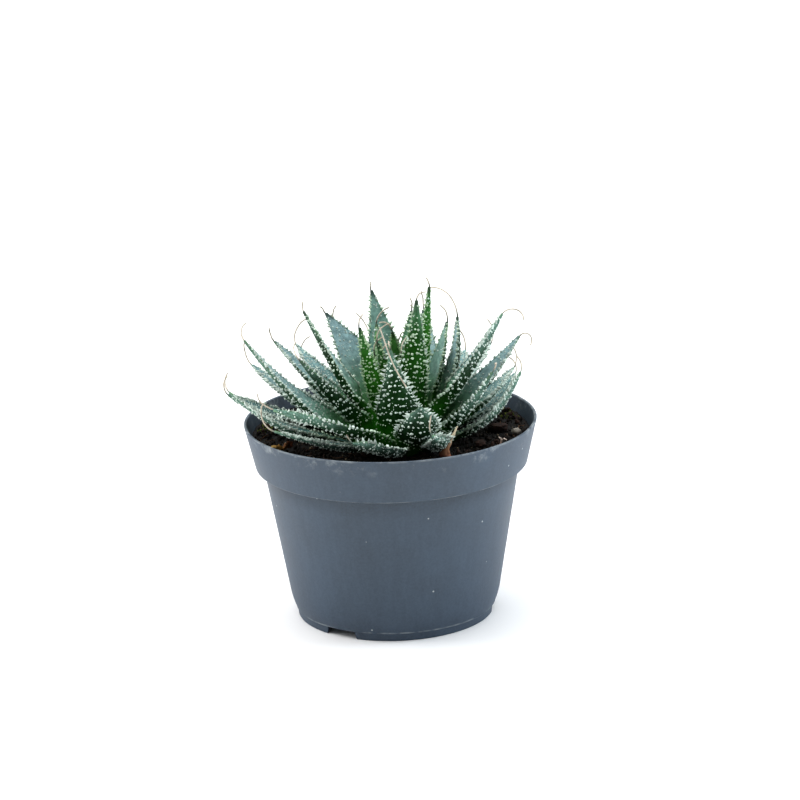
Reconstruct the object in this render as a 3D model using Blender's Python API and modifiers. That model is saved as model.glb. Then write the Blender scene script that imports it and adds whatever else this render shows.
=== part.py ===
"""Lace aloe in a thin moulded nursery pot, at real size.

Metres, +Z up. The floor is z = 0 and the viewer stands on the -Y side.
Every piece hangs on the empty "pot_axis". The origin lies under the middle
of the whole plant, a few millimetres from the axis of the pot.
"""
import math
import random
from collections import namedtuple

import bmesh
import bpy
from mathutils import Vector
from mathutils.bvhtree import BVHTree

MM = 0.001
GAP = 0.3 * MM

# Place of the pot's axis. The leaves reach further to the left than to the right.
AXIS_X = 3.4 * MM

# Pot: a 12 cm nursery pot with a deep collar and a foot ring with three notches.
RIM_RADIUS = 60.0 * MM
POT_HEIGHT = 82.0 * MM
WALL = 1.2 * MM
COLLAR_DEPTH = 18.4 * MM
COLLAR_TAPER = 4.3 * MM
COLLAR_STEP = 3.1 * MM
BODY_FOOT_RADIUS = 42.2 * MM
FOOT_RADIUS = 41.3 * MM
FOOT_HEIGHT = 3.6 * MM
FLOOR_THICKNESS = 1.4 * MM
EDGE_ROUND = 0.6 * MM
POT_STEPS = 48
NOTCH_COUNT = 3
NOTCH_FIRST = 236.0
NOTCH_WIDTH = 16.5 * MM
NOTCH_SLANT = 1.8 * MM
NOTCH_ROOF = 0.2 * MM
DRAIN_COUNT = 6
DRAIN_RADIUS = 3.5 * MM
DRAIN_CIRCLE = 28.0 * MM
CUT_PAST = 4.0 * MM

# Soil: a plug of peat with a rough top, a little under the rim. It is level round the stem.
SOIL_TOP = 75.6 * MM
SOIL_RINGS = (17 * MM, 26 * MM, 35 * MM, 44 * MM, 52 * MM)
SOIL_ROUGHNESS = 1.1 * MM
SOIL_STEPS = 24
SOIL_CLEARANCE = 0.45 * MM
SOIL_SHOULDER = 1.0 * MM
SOIL_FLAT_RADIUS = 27.0 * MM
SOIL_SEED = 7

# Loose things on the soil: place on it in mm from the pot's axis, size in mm, turn in degrees.
Chip = namedtuple("Chip", "name place size turn")
CHIPS = (
    Chip("bark_1", (44, -2), (9, 5, 3), 20),
    Chip("bark_2", (36, -24), (7, 4, 2.5), 110),
    Chip("bark_3", (-26, -42), (6, 4, 2.5), 160),
    Chip("bark_4", (-33, 33), (9, 5, 3), 70),
    Chip("bark_5", (38, 30), (8, 5, 3), 140),
    Chip("pebble", (51, -10), (4, 3.5, 3), 0),
)

# Two dead scraps of leaf: place of the foot in mm, height, width, turn and lean in degrees.
Scrap = namedtuple("Scrap", "name place height width turn lean")
SCRAPS = (
    Scrap("dry_sheath", (26, -37), 12, 4.5, 20, 8),
    Scrap("dry_scrap", (-44, -24), 8, 4.5, 115, 62),
)
SCRAP_THICKNESS = 0.8 * MM
SCRAP_ROWS = 6
SCRAP_FOLD = 0.35
SCRAP_TIP = 1.0 * MM
SCRAP_TWIST = 1.2
SCRAP_WAVE = 0.8 * MM
LITTER_SEED = 11
DROP_HEIGHT = 10 * MM

# Crown: the short stem, a dome that every leaf leaves at a right angle.
CROWN_X = 4.0 * MM
CROWN_Y = -12.0 * MM
CROWN_Z = 77.5 * MM
CROWN_RADIUS = 14.0 * MM
CROWN_STEPS = 6
STEM_RADIUS = 8.0 * MM
STEM_TAPER = 1.0 * MM
STEM_DEPTH = 16.0 * MM
STEM_SIDES = 16

# Leaf blade, as shares of its length, and the sizes of its small parts.
BLADE_RINGS = 9
WIDEST_AT = 0.36
BASE_WIDTH = 6.0 * MM
BASE_THICKNESS = 1.7 * MM
TIP_WIDTH = 1.5 * MM
TIP_THICKNESS = 1.0 * MM
THICKNESS_SHARE = 0.22
CHANNEL_SHARE = 0.10
SHOULDER = 0.27
SHOULDER_DEPTH = 0.80
TAPER_POWER = 1.3
TEETH_PER_SIDE = 12
TOOTH_HEIGHT = 1.5 * MM
TOOTH_BASE = 1.7 * MM
END_TOOTH = 0.7
TUBERCLE_RADIUS = 0.55 * MM
TUBERCLE_HEIGHT = 0.6 * MM
AWN_RINGS = 4
AWN_RADIUS = 0.4 * MM
MARGIN_CORNERS = (0, 2)

# One leaf: compass angle of its base, place of its tip in mm from the pot's axis,
# how far it keeps its first direction, its width in mm, and its dry tip thread:
# length in mm, degrees that it curls, and the side that it curls to.
Leaf = namedtuple("Leaf", "azimuth tip reach width awn curl side")

# Whorls from the soil up: name, lean above the horizon where they leave the crown, leaves.
WHORLS = (
    ("low", 6, (
        Leaf(342, (53, -4, 101), 0.55, 14, 8, 60, 0),
        Leaf(306, (16, -46, 88), 0.75, 11, 10, 60, 0),
        Leaf(272, (-15, -46, 86), 0.75, 12, 9, 70, 0),
        Leaf(236, (-46, -32, 88), 0.50, 12, 14, 110, 20),
        Leaf(198, (-64, -16, 100), 0.60, 14, 9, 80, 340),
        Leaf(163, (-65, -6, 96), 0.75, 12, 9, 120, 320),
        Leaf(125, (-36, 44, 94), 0.55, 16, 14, 120, 330),
        Leaf(80, (14, 56, 93), 0.55, 16, 14, 140, 30),
        Leaf(30, (52, 26, 92), 0.55, 15, 12, 140, 30),
    )),
    ("outer", 19, (
        Leaf(321, (41, -30, 109), 0.50, 13, 9, 110, 250),
        Leaf(284, (12, -42, 99), 0.90, 17, 36, 55, 270),
        Leaf(248, (-46, -34, 97), 0.70, 14, 12, 120, 180),
        Leaf(213, (-57, -18, 122), 0.45, 16, 9, 90, 320),
        Leaf(171, (-56, 16, 102), 0.55, 15, 12, 120, 20),
        Leaf(134, (-38, 38, 104), 0.55, 15, 14, 120, 340),
        Leaf(96, (-7, 52, 103), 0.55, 15, 14, 120, 30),
        Leaf(56, (32, 42, 98), 0.55, 16, 14, 130, 20),
        Leaf(15, (51, 14, 98), 0.55, 15, 12, 120, 350),
    )),
    ("spreading", 32, (
        Leaf(344, (53, -6, 117), 0.45, 15, 10, 170, 190),
        Leaf(269, (1, -26, 118), 0.50, 18, 5, 60, 340),
        Leaf(222, (-35, -16, 112), 0.50, 14, 13, 70, 330),
        Leaf(165, (-46, 8, 114), 0.50, 15, 6, 60, 20),
        Leaf(120, (-22, 36, 110), 0.50, 14, 12, 110, 340),
        Leaf(77, (14, 42, 109), 0.50, 14, 12, 120, 20),
        Leaf(33, (42, 23, 106), 0.50, 14, 12, 120, 350),
    )),
    ("middle", 45, (
        Leaf(322, (46, -8, 127), 0.50, 17, 13, 150, 190),
        Leaf(10, (28, -4, 125), 0.50, 13, 20, 100, 60),
        Leaf(226, (-33, -10, 131), 0.50, 15, 4, 40, 20),
        Leaf(124, (-25, 12, 124), 0.45, 20, 4, 40, 20),
        Leaf(60, (15, 24, 121), 0.45, 16, 9, 90, 340),
    )),
    ("rising", 58, (
        Leaf(290, (12, -14, 135), 0.50, 13, 6, 90, 90),
        Leaf(230, (-11, -16, 125), 0.50, 12, 6, 50, 20),
        Leaf(105, (-6, 8, 134), 0.45, 16, 4, 30, 0),
        Leaf(20, (24, 4, 121), 0.45, 13, 8, 80, 350),
    )),
    ("upright", 71, (
        Leaf(335, (17, -8, 139), 0.40, 12, 4, 40, 0),
        Leaf(65, (10, 4, 126), 0.40, 12, 6, 60, 0),
        Leaf(155, (-4, 0, 122), 0.40, 10, 9, 80, 0),
        Leaf(245, (-4, -15, 118), 0.40, 9, 10, 90, 60),
    )),
    ("heart", 86, (
        Leaf(90, (2, -10, 121), 0.40, 7, 9, 90, 60),
    )),
)


def material(name, color, roughness):
    """Make one plain Principled material."""
    made = bpy.data.materials.new(name)
    made.use_nodes = True
    shader = made.node_tree.nodes["Principled BSDF"]
    shader.inputs["Base Color"].default_value = (*color, 1.0)
    shader.inputs["Roughness"].default_value = roughness
    made.diffuse_color = (*color, 1.0)
    return made


def add_object(name, mesh, collection, parent):
    """Link a mesh as a named object that hangs on the parent."""
    made = bpy.data.objects.new(name, mesh)
    collection.objects.link(made)
    made.parent = parent
    return made


def mesh_from(bm, name):
    """Close a bmesh into a mesh whose faces point out."""
    bmesh.ops.recalc_face_normals(bm, faces=bm.faces)
    mesh = bpy.data.meshes.new(name)
    bm.to_mesh(mesh)
    bm.free()
    return mesh


def profile_mesh(name, points):
    """Make a line of (radius, height) points in the XZ plane."""
    mesh = bpy.data.meshes.new(name)
    edges = [(i, i + 1) for i in range(len(points) - 1)]
    mesh.from_pydata([(r, 0.0, z) for r, z in points], edges, [])
    return mesh


def add_screw(obj, steps):
    """Turn a profile about Z."""
    turn = obj.modifiers.new("turned", "SCREW")
    turn.steps = steps
    turn.render_steps = steps
    turn.use_merge_vertices = True
    turn.merge_threshold = 0.00005
    turn.use_smooth_shade = True


def add_cut(obj, cutters):
    """Cut a collection of solids out of an object."""
    cut = obj.modifiers.new("cut", "BOOLEAN")
    cut.operation = "DIFFERENCE"
    cut.operand_type = "COLLECTION"
    cut.collection = cutters
    cut.solver = "EXACT"


def new_cutter(name, mesh, collection, parent):
    """Add a solid that only cuts."""
    made = add_object(name, mesh, collection, parent)
    made.hide_render = True
    made.display_type = "WIRE"
    return made


def collar_bottom_radius():
    return RIM_RADIUS - COLLAR_TAPER


def pot_inner_radius(height):
    """Inside radius of the collar or the body at a height."""
    ledge = POT_HEIGHT - COLLAR_DEPTH + WALL
    if height > ledge:
        share = (POT_HEIGHT - height) / COLLAR_DEPTH
        return RIM_RADIUS - WALL - COLLAR_TAPER * share
    body_top = collar_bottom_radius() - COLLAR_STEP
    share = (height - FOOT_HEIGHT) / (POT_HEIGHT - COLLAR_DEPTH - FOOT_HEIGHT)
    return BODY_FOOT_RADIUS + (body_top - BODY_FOOT_RADIUS) * share - WALL


def pot_profile():
    """Half section of the pot: up the inside, over the lip, down the outside."""
    floor_top = FOOT_HEIGHT + FLOOR_THICKNESS
    step = POT_HEIGHT - COLLAR_DEPTH
    ledge = step + WALL
    collar_foot = collar_bottom_radius()
    return (
        (0.0, floor_top),
        (pot_inner_radius(floor_top) - EDGE_ROUND, floor_top),
        (pot_inner_radius(ledge - EDGE_ROUND), ledge - EDGE_ROUND),
        (pot_inner_radius(ledge + EDGE_ROUND), ledge + EDGE_ROUND),
        (RIM_RADIUS - WALL, POT_HEIGHT - EDGE_ROUND),
        (RIM_RADIUS - 0.75 * WALL, POT_HEIGHT),
        (RIM_RADIUS - 0.25 * WALL, POT_HEIGHT),
        (RIM_RADIUS, POT_HEIGHT - EDGE_ROUND),
        (collar_foot, step + EDGE_ROUND),
        (collar_foot - EDGE_ROUND, step),
        (collar_foot - COLLAR_STEP, step - EDGE_ROUND),
        (BODY_FOOT_RADIUS + EDGE_ROUND, FOOT_HEIGHT + 3 * EDGE_ROUND),
        (BODY_FOOT_RADIUS, FOOT_HEIGHT + 0.5 * EDGE_ROUND),
        (FOOT_RADIUS + 0.2 * EDGE_ROUND, FOOT_HEIGHT - EDGE_ROUND),
        (FOOT_RADIUS, 0.0),
        (FOOT_RADIUS - WALL, 0.0),
        (FOOT_RADIUS - WALL, FOOT_HEIGHT),
        (0.0, FOOT_HEIGHT),
    )


def notch_mesh():
    """A wedge wider at the floor, which cuts one notch out of the foot ring."""
    bm = bmesh.new()
    bmesh.ops.create_cube(bm, size=1.0)
    for vert in bm.verts:
        low = vert.co.z < 0
        half = NOTCH_WIDTH / 2 - (0.0 if low else NOTCH_SLANT)
        vert.co.y = math.copysign(half, vert.co.y)
        vert.co.x = FOOT_RADIUS + math.copysign(CUT_PAST, vert.co.x)
        vert.co.z = -CUT_PAST if low else FOOT_HEIGHT - NOTCH_ROOF
    return mesh_from(bm, "notch_cutter")


def drain_mesh():
    """A round hole through the floor of the pot."""
    bm = bmesh.new()
    bmesh.ops.create_cone(
        bm, cap_ends=True, segments=10, radius1=DRAIN_RADIUS, radius2=DRAIN_RADIUS,
        depth=2 * CUT_PAST,
    )
    return mesh_from(bm, "drain_cutter")


def build_pot(parts, cutters, axis):
    pot = add_object("pot", profile_mesh("pot", pot_profile()), parts, axis)
    add_screw(pot, POT_STEPS)
    for i in range(NOTCH_COUNT):
        notch = new_cutter(f"notch_{i + 1}", notch_mesh(), cutters, axis)
        notch.rotation_euler.z = math.radians(NOTCH_FIRST + i * 360 / NOTCH_COUNT)
    for i in range(DRAIN_COUNT):
        angle = math.radians((i + 0.5) * 360 / DRAIN_COUNT)
        drain = new_cutter(f"drain_{i + 1}", drain_mesh(), cutters, axis)
        drain.location = (
            DRAIN_CIRCLE * math.cos(angle),
            DRAIN_CIRCLE * math.sin(angle),
            FOOT_HEIGHT,
        )
    add_cut(pot, cutters)
    pot.data.materials.append(material("grey_polypropylene", (0.085, 0.105, 0.135), 0.5))
    return pot


def soil_profile():
    """Half section of the soil plug: out along its rough top, then down its side."""
    ledge = POT_HEIGHT - COLLAR_DEPTH + WALL
    seat = ledge + SOIL_SHOULDER
    bottom = FOOT_HEIGHT + FLOOR_THICKNESS + GAP
    top = [(radius, SOIL_TOP) for radius in (0.0, *SOIL_RINGS)]
    side = [
        (pot_inner_radius(SOIL_TOP) - SOIL_CLEARANCE, SOIL_TOP),
        (pot_inner_radius(seat) - SOIL_CLEARANCE, seat),
        (pot_inner_radius(ledge) - SOIL_CLEARANCE, seat),
        (pot_inner_radius(bottom) - 3 * SOIL_CLEARANCE, bottom),
        (0.0, bottom),
    ]
    return top + side


def build_soil(parts, cutters, axis):
    source = add_object("soil_turned", profile_mesh("soil", soil_profile()), parts, axis)
    add_screw(source, SOIL_STEPS)
    turned = evaluated_mesh(source)
    bpy.data.objects.remove(source)
    dice = random.Random(SOIL_SEED)
    last_ring = SOIL_RINGS[-1] + GAP
    for vert in turned.vertices:
        on_top = vert.co.z > SOIL_TOP - GAP and vert.co.xy.length < last_ring
        near_stem = (vert.co.xy - Vector((CROWN_X, CROWN_Y))).length < SOIL_FLAT_RADIUS
        lift = dice.uniform(-1, 1) * SOIL_ROUGHNESS
        if on_top and not near_stem:
            vert.co.z += lift
    soil = add_object("soil", turned, parts, axis)
    bm = bmesh.new()
    hole_radius = STEM_RADIUS + GAP
    bmesh.ops.create_cone(
        bm, cap_ends=True, segments=STEM_SIDES, radius1=hole_radius, radius2=hole_radius,
        depth=2 * STEM_DEPTH,
    )
    hole = new_cutter("stem_hole", mesh_from(bm, "stem_hole"), cutters, axis)
    hole.location = (CROWN_X, CROWN_Y, SOIL_TOP)
    add_cut(soil, cutters)
    soil.data.materials.append(material("peat", (0.025, 0.016, 0.011), 0.95))
    return soil


def build_crown(parts, axis):
    """The short stem: a dome above the soil on a stub that stands in it."""
    rest = SOIL_TOP + GAP
    low_angle = math.asin((rest - CROWN_Z) / CROWN_RADIUS)
    profile = [(0.0, CROWN_Z + CROWN_RADIUS)]
    for i in range(1, CROWN_STEPS + 1):
        angle = math.pi / 2 + (low_angle - math.pi / 2) * i / CROWN_STEPS
        height = CROWN_Z + CROWN_RADIUS * math.sin(angle)
        profile.append((CROWN_RADIUS * math.cos(angle), height))
    foot = SOIL_TOP - STEM_DEPTH + GAP
    profile += [(STEM_RADIUS, rest), (STEM_RADIUS - STEM_TAPER, foot), (0.0, foot)]
    crown = add_object("crown", profile_mesh("crown", profile), parts, axis)
    crown.location = (CROWN_X, CROWN_Y, 0.0)
    add_screw(crown, STEM_SIDES)
    crown.data.materials.append(material("pale_leaf_base", (0.20, 0.28, 0.08), 0.7))
    return crown


def evaluated_mesh(obj):
    """A plain mesh of an object with its modifiers applied."""
    bpy.context.view_layer.update()
    graph = bpy.context.evaluated_depsgraph_get()
    return bpy.data.meshes.new_from_object(obj.evaluated_get(graph))


def heading(azimuth, lean):
    """Unit direction for a compass angle and an angle above the horizon, in degrees."""
    a = math.radians(azimuth)
    e = math.radians(lean)
    return Vector((math.cos(a) * math.cos(e), math.sin(a) * math.cos(e), math.sin(e)))


def blade_width(share, widest):
    """Width of the blade at a share of its length."""
    if share < WIDEST_AT:
        rise = math.sin(math.pi / 2 * share / WIDEST_AT)
        return BASE_WIDTH + (widest - BASE_WIDTH) * rise
    fall = ((share - WIDEST_AT) / (1 - WIDEST_AT)) ** TAPER_POWER
    return widest + (TIP_WIDTH - widest) * fall


def blade_thickness(share, widest):
    """Thickness of the blade at its middle, at a share of its length."""
    full = THICKNESS_SHARE * widest
    if share < WIDEST_AT:
        return BASE_THICKNESS + (full - BASE_THICKNESS) * share / WIDEST_AT
    return full + (TIP_THICKNESS - full) * (share - WIDEST_AT) / (1 - WIDEST_AT)


class Spine:
    """The middle line of a leaf, with the sideways and inner directions along it."""

    def __init__(self, leaf, lean):
        self.leaf = leaf
        out = heading(leaf.azimuth, lean)
        centre = Vector((CROWN_X, CROWN_Y, CROWN_Z))
        self.start = centre + out * (CROWN_RADIUS + GAP)
        self.tip = Vector(leaf.tip) * MM
        self.knee = self.start + out * (leaf.reach * (self.tip - self.start).length)
        self.side = heading(leaf.azimuth + 90, 0)
        self.awn_length = leaf.awn * MM

    def blade_point(self, share):
        a, b, c = self.start, self.knee, self.tip
        return a * (1 - share) ** 2 + b * (2 * share * (1 - share)) + c * share ** 2

    def blade_tangent(self, share):
        a, b, c = self.start, self.knee, self.tip
        return ((b - a) * (1 - share) + (c - b) * share).normalized()

    def frame(self, tangent):
        side = (self.side - tangent * self.side.dot(tangent)).normalized()
        return side, tangent.cross(side)

    def at(self, share):
        """Point, sideways direction and inner direction; beyond 1 is the awn."""
        if share <= 1.0:
            tangent = self.blade_tangent(share)
            return self.blade_point(share), *self.frame(tangent)
        tangent = self.blade_tangent(1.0)
        side, inner = self.frame(tangent)
        turn = math.radians(self.leaf.side)
        bend = inner * math.cos(turn) + side * math.sin(turn)
        total = math.radians(self.leaf.curl)
        angle = total * (share - 1.0)
        radius = self.awn_length / total
        point = self.tip + (tangent * math.sin(angle) + bend * (1 - math.cos(angle))) * radius
        now = (tangent * math.cos(angle) + bend * math.sin(angle)).normalized()
        side = (side - now * side.dot(now)).normalized()
        return point, side, now.cross(side)


def section(spine, share, widest):
    """Six corners of the leaf's section: margin, channel, margin, back, keel, back."""
    point, side, inner = spine.at(share)
    if share > 1.0:
        width = 2 * AWN_RADIUS
        channel = -0.5 * AWN_RADIUS
        thickness = 2 * AWN_RADIUS
    else:
        width = blade_width(share, widest)
        thickness = blade_thickness(share, widest)
        channel = CHANNEL_SHARE * width * (1 - share)
    half = width / 2
    back = channel + thickness
    places = (
        (-half, 0.0),
        (0.0, -channel),
        (half, 0.0),
        (SHOULDER * width, -SHOULDER_DEPTH * back),
        (0.0, -back),
        (-SHOULDER * width, -SHOULDER_DEPTH * back),
    )
    return [point + side * u + inner * v for u, v in places]


def margin_chain(spine, widest, corner):
    """Places along one margin: three for each tooth, with its point pushed out."""
    outward = -1 if corner == 0 else 1
    length = (spine.tip - spine.start).length
    half_base = TOOTH_BASE / 2 / length
    chain = [(0.0, section(spine, 0.0, widest)[corner])]
    for k in range(TEETH_PER_SIDE):
        share = (k + 0.7) / (TEETH_PER_SIDE + 0.4)
        at_end = k == 0 or k == TEETH_PER_SIDE - 1
        height = TOOTH_HEIGHT * (END_TOOTH if at_end else 1.0)
        for offset in (-half_base, 0.25 * half_base, half_base):
            place = section(spine, share + offset, widest)[corner]
            if abs(offset) < half_base:
                side = spine.at(share)[1]
                place = place + side * (outward * height)
            chain.append((share + offset, place))
    chain.append((1.0, section(spine, 1.0, widest)[corner]))
    return chain


def ring_chain(spine, widest, corner):
    """Places along one of the other corners, one for each ring."""
    shares = [i / BLADE_RINGS for i in range(BLADE_RINGS + 1)]
    return [(share, section(spine, share, widest)[corner]) for share in shares]


def zip_strip(bm, left, right):
    """Fill the strip between two chains with triangles, in step along both."""
    i = j = 0
    faces = []
    while i < len(left) - 1 or j < len(right) - 1:
        next_left = left[i + 1][0] if i < len(left) - 1 else math.inf
        next_right = right[j + 1][0] if j < len(right) - 1 else math.inf
        if next_left <= next_right:
            faces.append(bm.faces.new((left[i][1], left[i + 1][1], right[j][1])))
            i += 1
        else:
            faces.append(bm.faces.new((left[i][1], right[j + 1][1], right[j][1])))
            j += 1
    return faces


def raise_tubercle(bm, face):
    """Raise a three-sided tubercle from the middle of a triangle."""
    corners = list(face.verts)
    perimeter = sum(edge.calc_length() for edge in face.edges)
    inradius = 2 * face.calc_area() / perimeter
    if inradius < 1.5 * TUBERCLE_RADIUS:
        return
    centre = Vector()
    for i, corner in enumerate(corners):
        opposite = (corners[i - 1].co - corners[i - 2].co).length
        centre += corner.co * (opposite / perimeter)
    normal = face.normal.copy()
    share = TUBERCLE_RADIUS / inradius
    inner = [bm.verts.new(centre.lerp(v.co, share)) for v in corners]
    apex = bm.verts.new(centre + normal * TUBERCLE_HEIGHT)
    bm.faces.remove(face)
    for i in range(3):
        j = (i + 1) % 3
        bm.faces.new((corners[i], corners[j], inner[j], inner[i]))
        bm.faces.new((inner[i], inner[j], apex))


def leaf_mesh(name, leaf, lean):
    """One leaf: a channelled blade with a keel, toothed margins, tubercles and an awn."""
    spine = Spine(leaf, lean)
    widest = leaf.width * MM
    bm = bmesh.new()
    chains = []
    for corner in range(6):
        chain = margin_chain if corner in MARGIN_CORNERS else ring_chain
        places = chain(spine, widest, corner)
        for k in range(AWN_RINGS):
            share = 1.0 + (k + 1) / AWN_RINGS
            places.append((share, section(spine, share, widest)[corner]))
        chains.append([(share, bm.verts.new(place)) for share, place in places])
    strips = [zip_strip(bm, chains[i], chains[(i + 1) % 6]) for i in range(6)]
    bm.faces.new([chain[0][1] for chain in chains])
    bm.faces.new([chain[-1][1] for chain in reversed(chains)])
    bmesh.ops.recalc_face_normals(bm, faces=bm.faces)
    for strip in (strips[3], strips[4]):
        for number, face in enumerate(strip[: 2 * BLADE_RINGS]):
            if number % 2 == 0:
                raise_tubercle(bm, face)
    bmesh.ops.triangulate(bm, faces=[f for f in bm.faces if len(f.verts) > 4])
    return mesh_from(bm, name)


def build_leaves(parts, axis):
    outside = material("leaf_green", (0.045, 0.12, 0.065), 0.55)
    for whorl, lean, leaves in WHORLS:
        for number, leaf in enumerate(leaves):
            name = f"leaf_{whorl}_{number + 1}"
            made = add_object(name, leaf_mesh(name, leaf, lean), parts, axis)
            made.data.materials.append(outside)


def drop_onto(loose, ground):
    """Lower a mesh, given in place, until it lies a gap above the ground mesh."""
    up = Vector((0.0, 0.0, 1.0))
    trees = [
        BVHTree.FromPolygons([v.co for v in mesh.vertices], [p.vertices for p in mesh.polygons])
        for mesh in (ground, loose)
    ]
    drops = []
    for vert in loose.vertices:
        distance = trees[0].ray_cast(vert.co, -up)[3]
        if distance is not None:
            drops.append(distance)
    for vert in ground.vertices:
        distance = trees[1].ray_cast(vert.co, up)[3]
        if distance is not None:
            drops.append(distance)
    for vert in loose.vertices:
        vert.co.z -= min(drops) - GAP


def chip_mesh(chip, dice):
    """A rough lump: a ball squeezed to size, with its corners knocked about."""
    bm = bmesh.new()
    bmesh.ops.create_icosphere(bm, subdivisions=1, radius=1.0)
    turn = math.radians(chip.turn)
    for vert in bm.verts:
        knock = dice.uniform(0.82, 1.15)
        x, y, z = (vert.co[i] * chip.size[i] / 2 * MM * knock for i in range(3))
        vert.co = (
            chip.place[0] * MM + x * math.cos(turn) - y * math.sin(turn),
            chip.place[1] * MM + x * math.sin(turn) + y * math.cos(turn),
            SOIL_TOP + DROP_HEIGHT + z,
        )
    return mesh_from(bm, chip.name)


def scrap_mesh(scrap):
    """A dry, folded blade that stands or lies on the soil, as an open sheet."""
    bm = bmesh.new()
    turn = math.radians(scrap.turn)
    lean = math.radians(scrap.lean)
    rows = []
    for i in range(SCRAP_ROWS):
        share = i / (SCRAP_ROWS - 1)
        half = (scrap.width * MM * (1 - share) + SCRAP_TIP) / 2
        up = scrap.height * MM * share
        twist = SCRAP_TWIST * share
        row = []
        for across in (-1, 0, 1):
            fold = (1 - abs(across)) * SCRAP_FOLD * half
            x = across * half * math.cos(twist)
            y = fold + across * half * math.sin(twist) / 2 + SCRAP_WAVE * math.sin(4 * twist)
            leaned = y * math.cos(lean) - up * math.sin(lean)
            z = y * math.sin(lean) + up * math.cos(lean)
            row.append(bm.verts.new((
                scrap.place[0] * MM + x * math.cos(turn) - leaned * math.sin(turn),
                scrap.place[1] * MM + x * math.sin(turn) + leaned * math.cos(turn),
                SOIL_TOP + DROP_HEIGHT + z,
            )))
        rows.append(row)
    for low, high in zip(rows, rows[1:]):
        for i in range(2):
            bm.faces.new((low[i], low[i + 1], high[i + 1], high[i]))
    return mesh_from(bm, scrap.name)


def build_litter(parts, axis, soil):
    """Bark, a pebble and two dead scraps of leaf, each let down onto the soil."""
    ground = evaluated_mesh(soil)
    dice = random.Random(LITTER_SEED)
    bark = material("bark", (0.09, 0.045, 0.022), 0.85)
    stone = material("pale_stone", (0.35, 0.32, 0.27), 0.8)
    dead = material("dead_leaf", (0.42, 0.22, 0.13), 0.75)
    for chip in CHIPS:
        mesh = chip_mesh(chip, dice)
        drop_onto(mesh, ground)
        made = add_object(chip.name, mesh, parts, axis)
        made.data.materials.append(stone if chip.name == "pebble" else bark)
    for scrap in SCRAPS:
        sheet = add_object(scrap.name + "_sheet", scrap_mesh(scrap), parts, axis)
        thicken = sheet.modifiers.new("thickness", "SOLIDIFY")
        thicken.thickness = SCRAP_THICKNESS
        thicken.offset = 0.0
        mesh = evaluated_mesh(sheet)
        bpy.data.objects.remove(sheet)
        drop_onto(mesh, ground)
        made = add_object(scrap.name, mesh, parts, axis)
        made.data.materials.append(dead)


def main():
    for obj in list(bpy.data.objects):
        bpy.data.objects.remove(obj)
    parts = bpy.data.collections.new("potted_aloe")
    pot_cutters = bpy.data.collections.new("pot_cutters")
    soil_cutters = bpy.data.collections.new("soil_cutters")
    for collection in (parts, pot_cutters, soil_cutters):
        bpy.context.scene.collection.children.link(collection)
    axis = bpy.data.objects.new("pot_axis", None)
    axis.location = (AXIS_X, 0.0, 0.0)
    parts.objects.link(axis)
    build_pot(parts, pot_cutters, axis)
    soil = build_soil(parts, soil_cutters, axis)
    build_crown(parts, axis)
    build_leaves(parts, axis)
    build_litter(parts, axis, soil)


main()
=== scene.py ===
"""Looks of a young lace aloe in a moulded nursery pot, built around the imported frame.

Laid out as an add-on and run as a script. Metres, +Z up, the viewer on the -Y side.
Each operator makes one piece, or one group of like pieces, in its final place.
"""

import math
import random
from collections import namedtuple
from functools import partial

import bmesh
import bpy
from bpy.props import FloatProperty, FloatVectorProperty, IntProperty, PointerProperty
from mathutils import Euler, Matrix, Vector, noise


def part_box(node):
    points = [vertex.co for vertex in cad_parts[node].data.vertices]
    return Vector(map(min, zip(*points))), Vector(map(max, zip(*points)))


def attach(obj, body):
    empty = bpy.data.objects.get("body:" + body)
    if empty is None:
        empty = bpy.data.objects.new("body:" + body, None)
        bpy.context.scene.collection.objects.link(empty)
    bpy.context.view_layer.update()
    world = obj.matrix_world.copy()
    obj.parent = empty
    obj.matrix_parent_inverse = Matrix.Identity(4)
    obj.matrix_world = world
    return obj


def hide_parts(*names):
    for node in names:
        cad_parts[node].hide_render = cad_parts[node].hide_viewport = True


bl_info = {
    "name": "Potted Lace Aloe",
    "version": (1, 0, 0),
    "blender": (4, 5, 0),
    "location": "View3D > Sidebar > Aloe",
    "description": "A young lace aloe in a nursery pot, at real size",
    "category": "Add Mesh",
}

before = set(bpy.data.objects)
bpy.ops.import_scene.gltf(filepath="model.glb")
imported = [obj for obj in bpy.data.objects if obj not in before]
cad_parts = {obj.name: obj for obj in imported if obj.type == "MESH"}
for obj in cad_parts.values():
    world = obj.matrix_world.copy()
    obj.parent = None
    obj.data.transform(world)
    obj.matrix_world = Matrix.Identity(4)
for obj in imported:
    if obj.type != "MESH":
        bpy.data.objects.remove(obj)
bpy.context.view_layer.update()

MM = 0.001
POT_LOW, POT_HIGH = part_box("pot")
SOIL_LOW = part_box("soil")[0]
AXIS = Vector(((POT_LOW.x + POT_HIGH.x) / 2, (POT_LOW.y + POT_HIGH.y) / 2, 0.0))
POT_HEIGHT = POT_HIGH.z
RIM_RADIUS = (POT_HIGH.x - POT_LOW.x) / 2

# The soil's mean level, and the dome of the stem that the leaves grow from.
SOIL_TOP = 75.6 * MM
CROWN_PLACE = Vector((4.0, -12.0, 77.5)) * MM
CROWN_RADIUS = 14.0 * MM

# Where the blades come out of the peat, clasping each other, and over how much of their
# length they swing from there onto the line of their solid.
CLASP_PLACE = Vector((5.0, -21.0, 75.0)) * MM
CLASP_RADIUS = 8.0 * MM
CLASP_SHARE = 0.34

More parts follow.
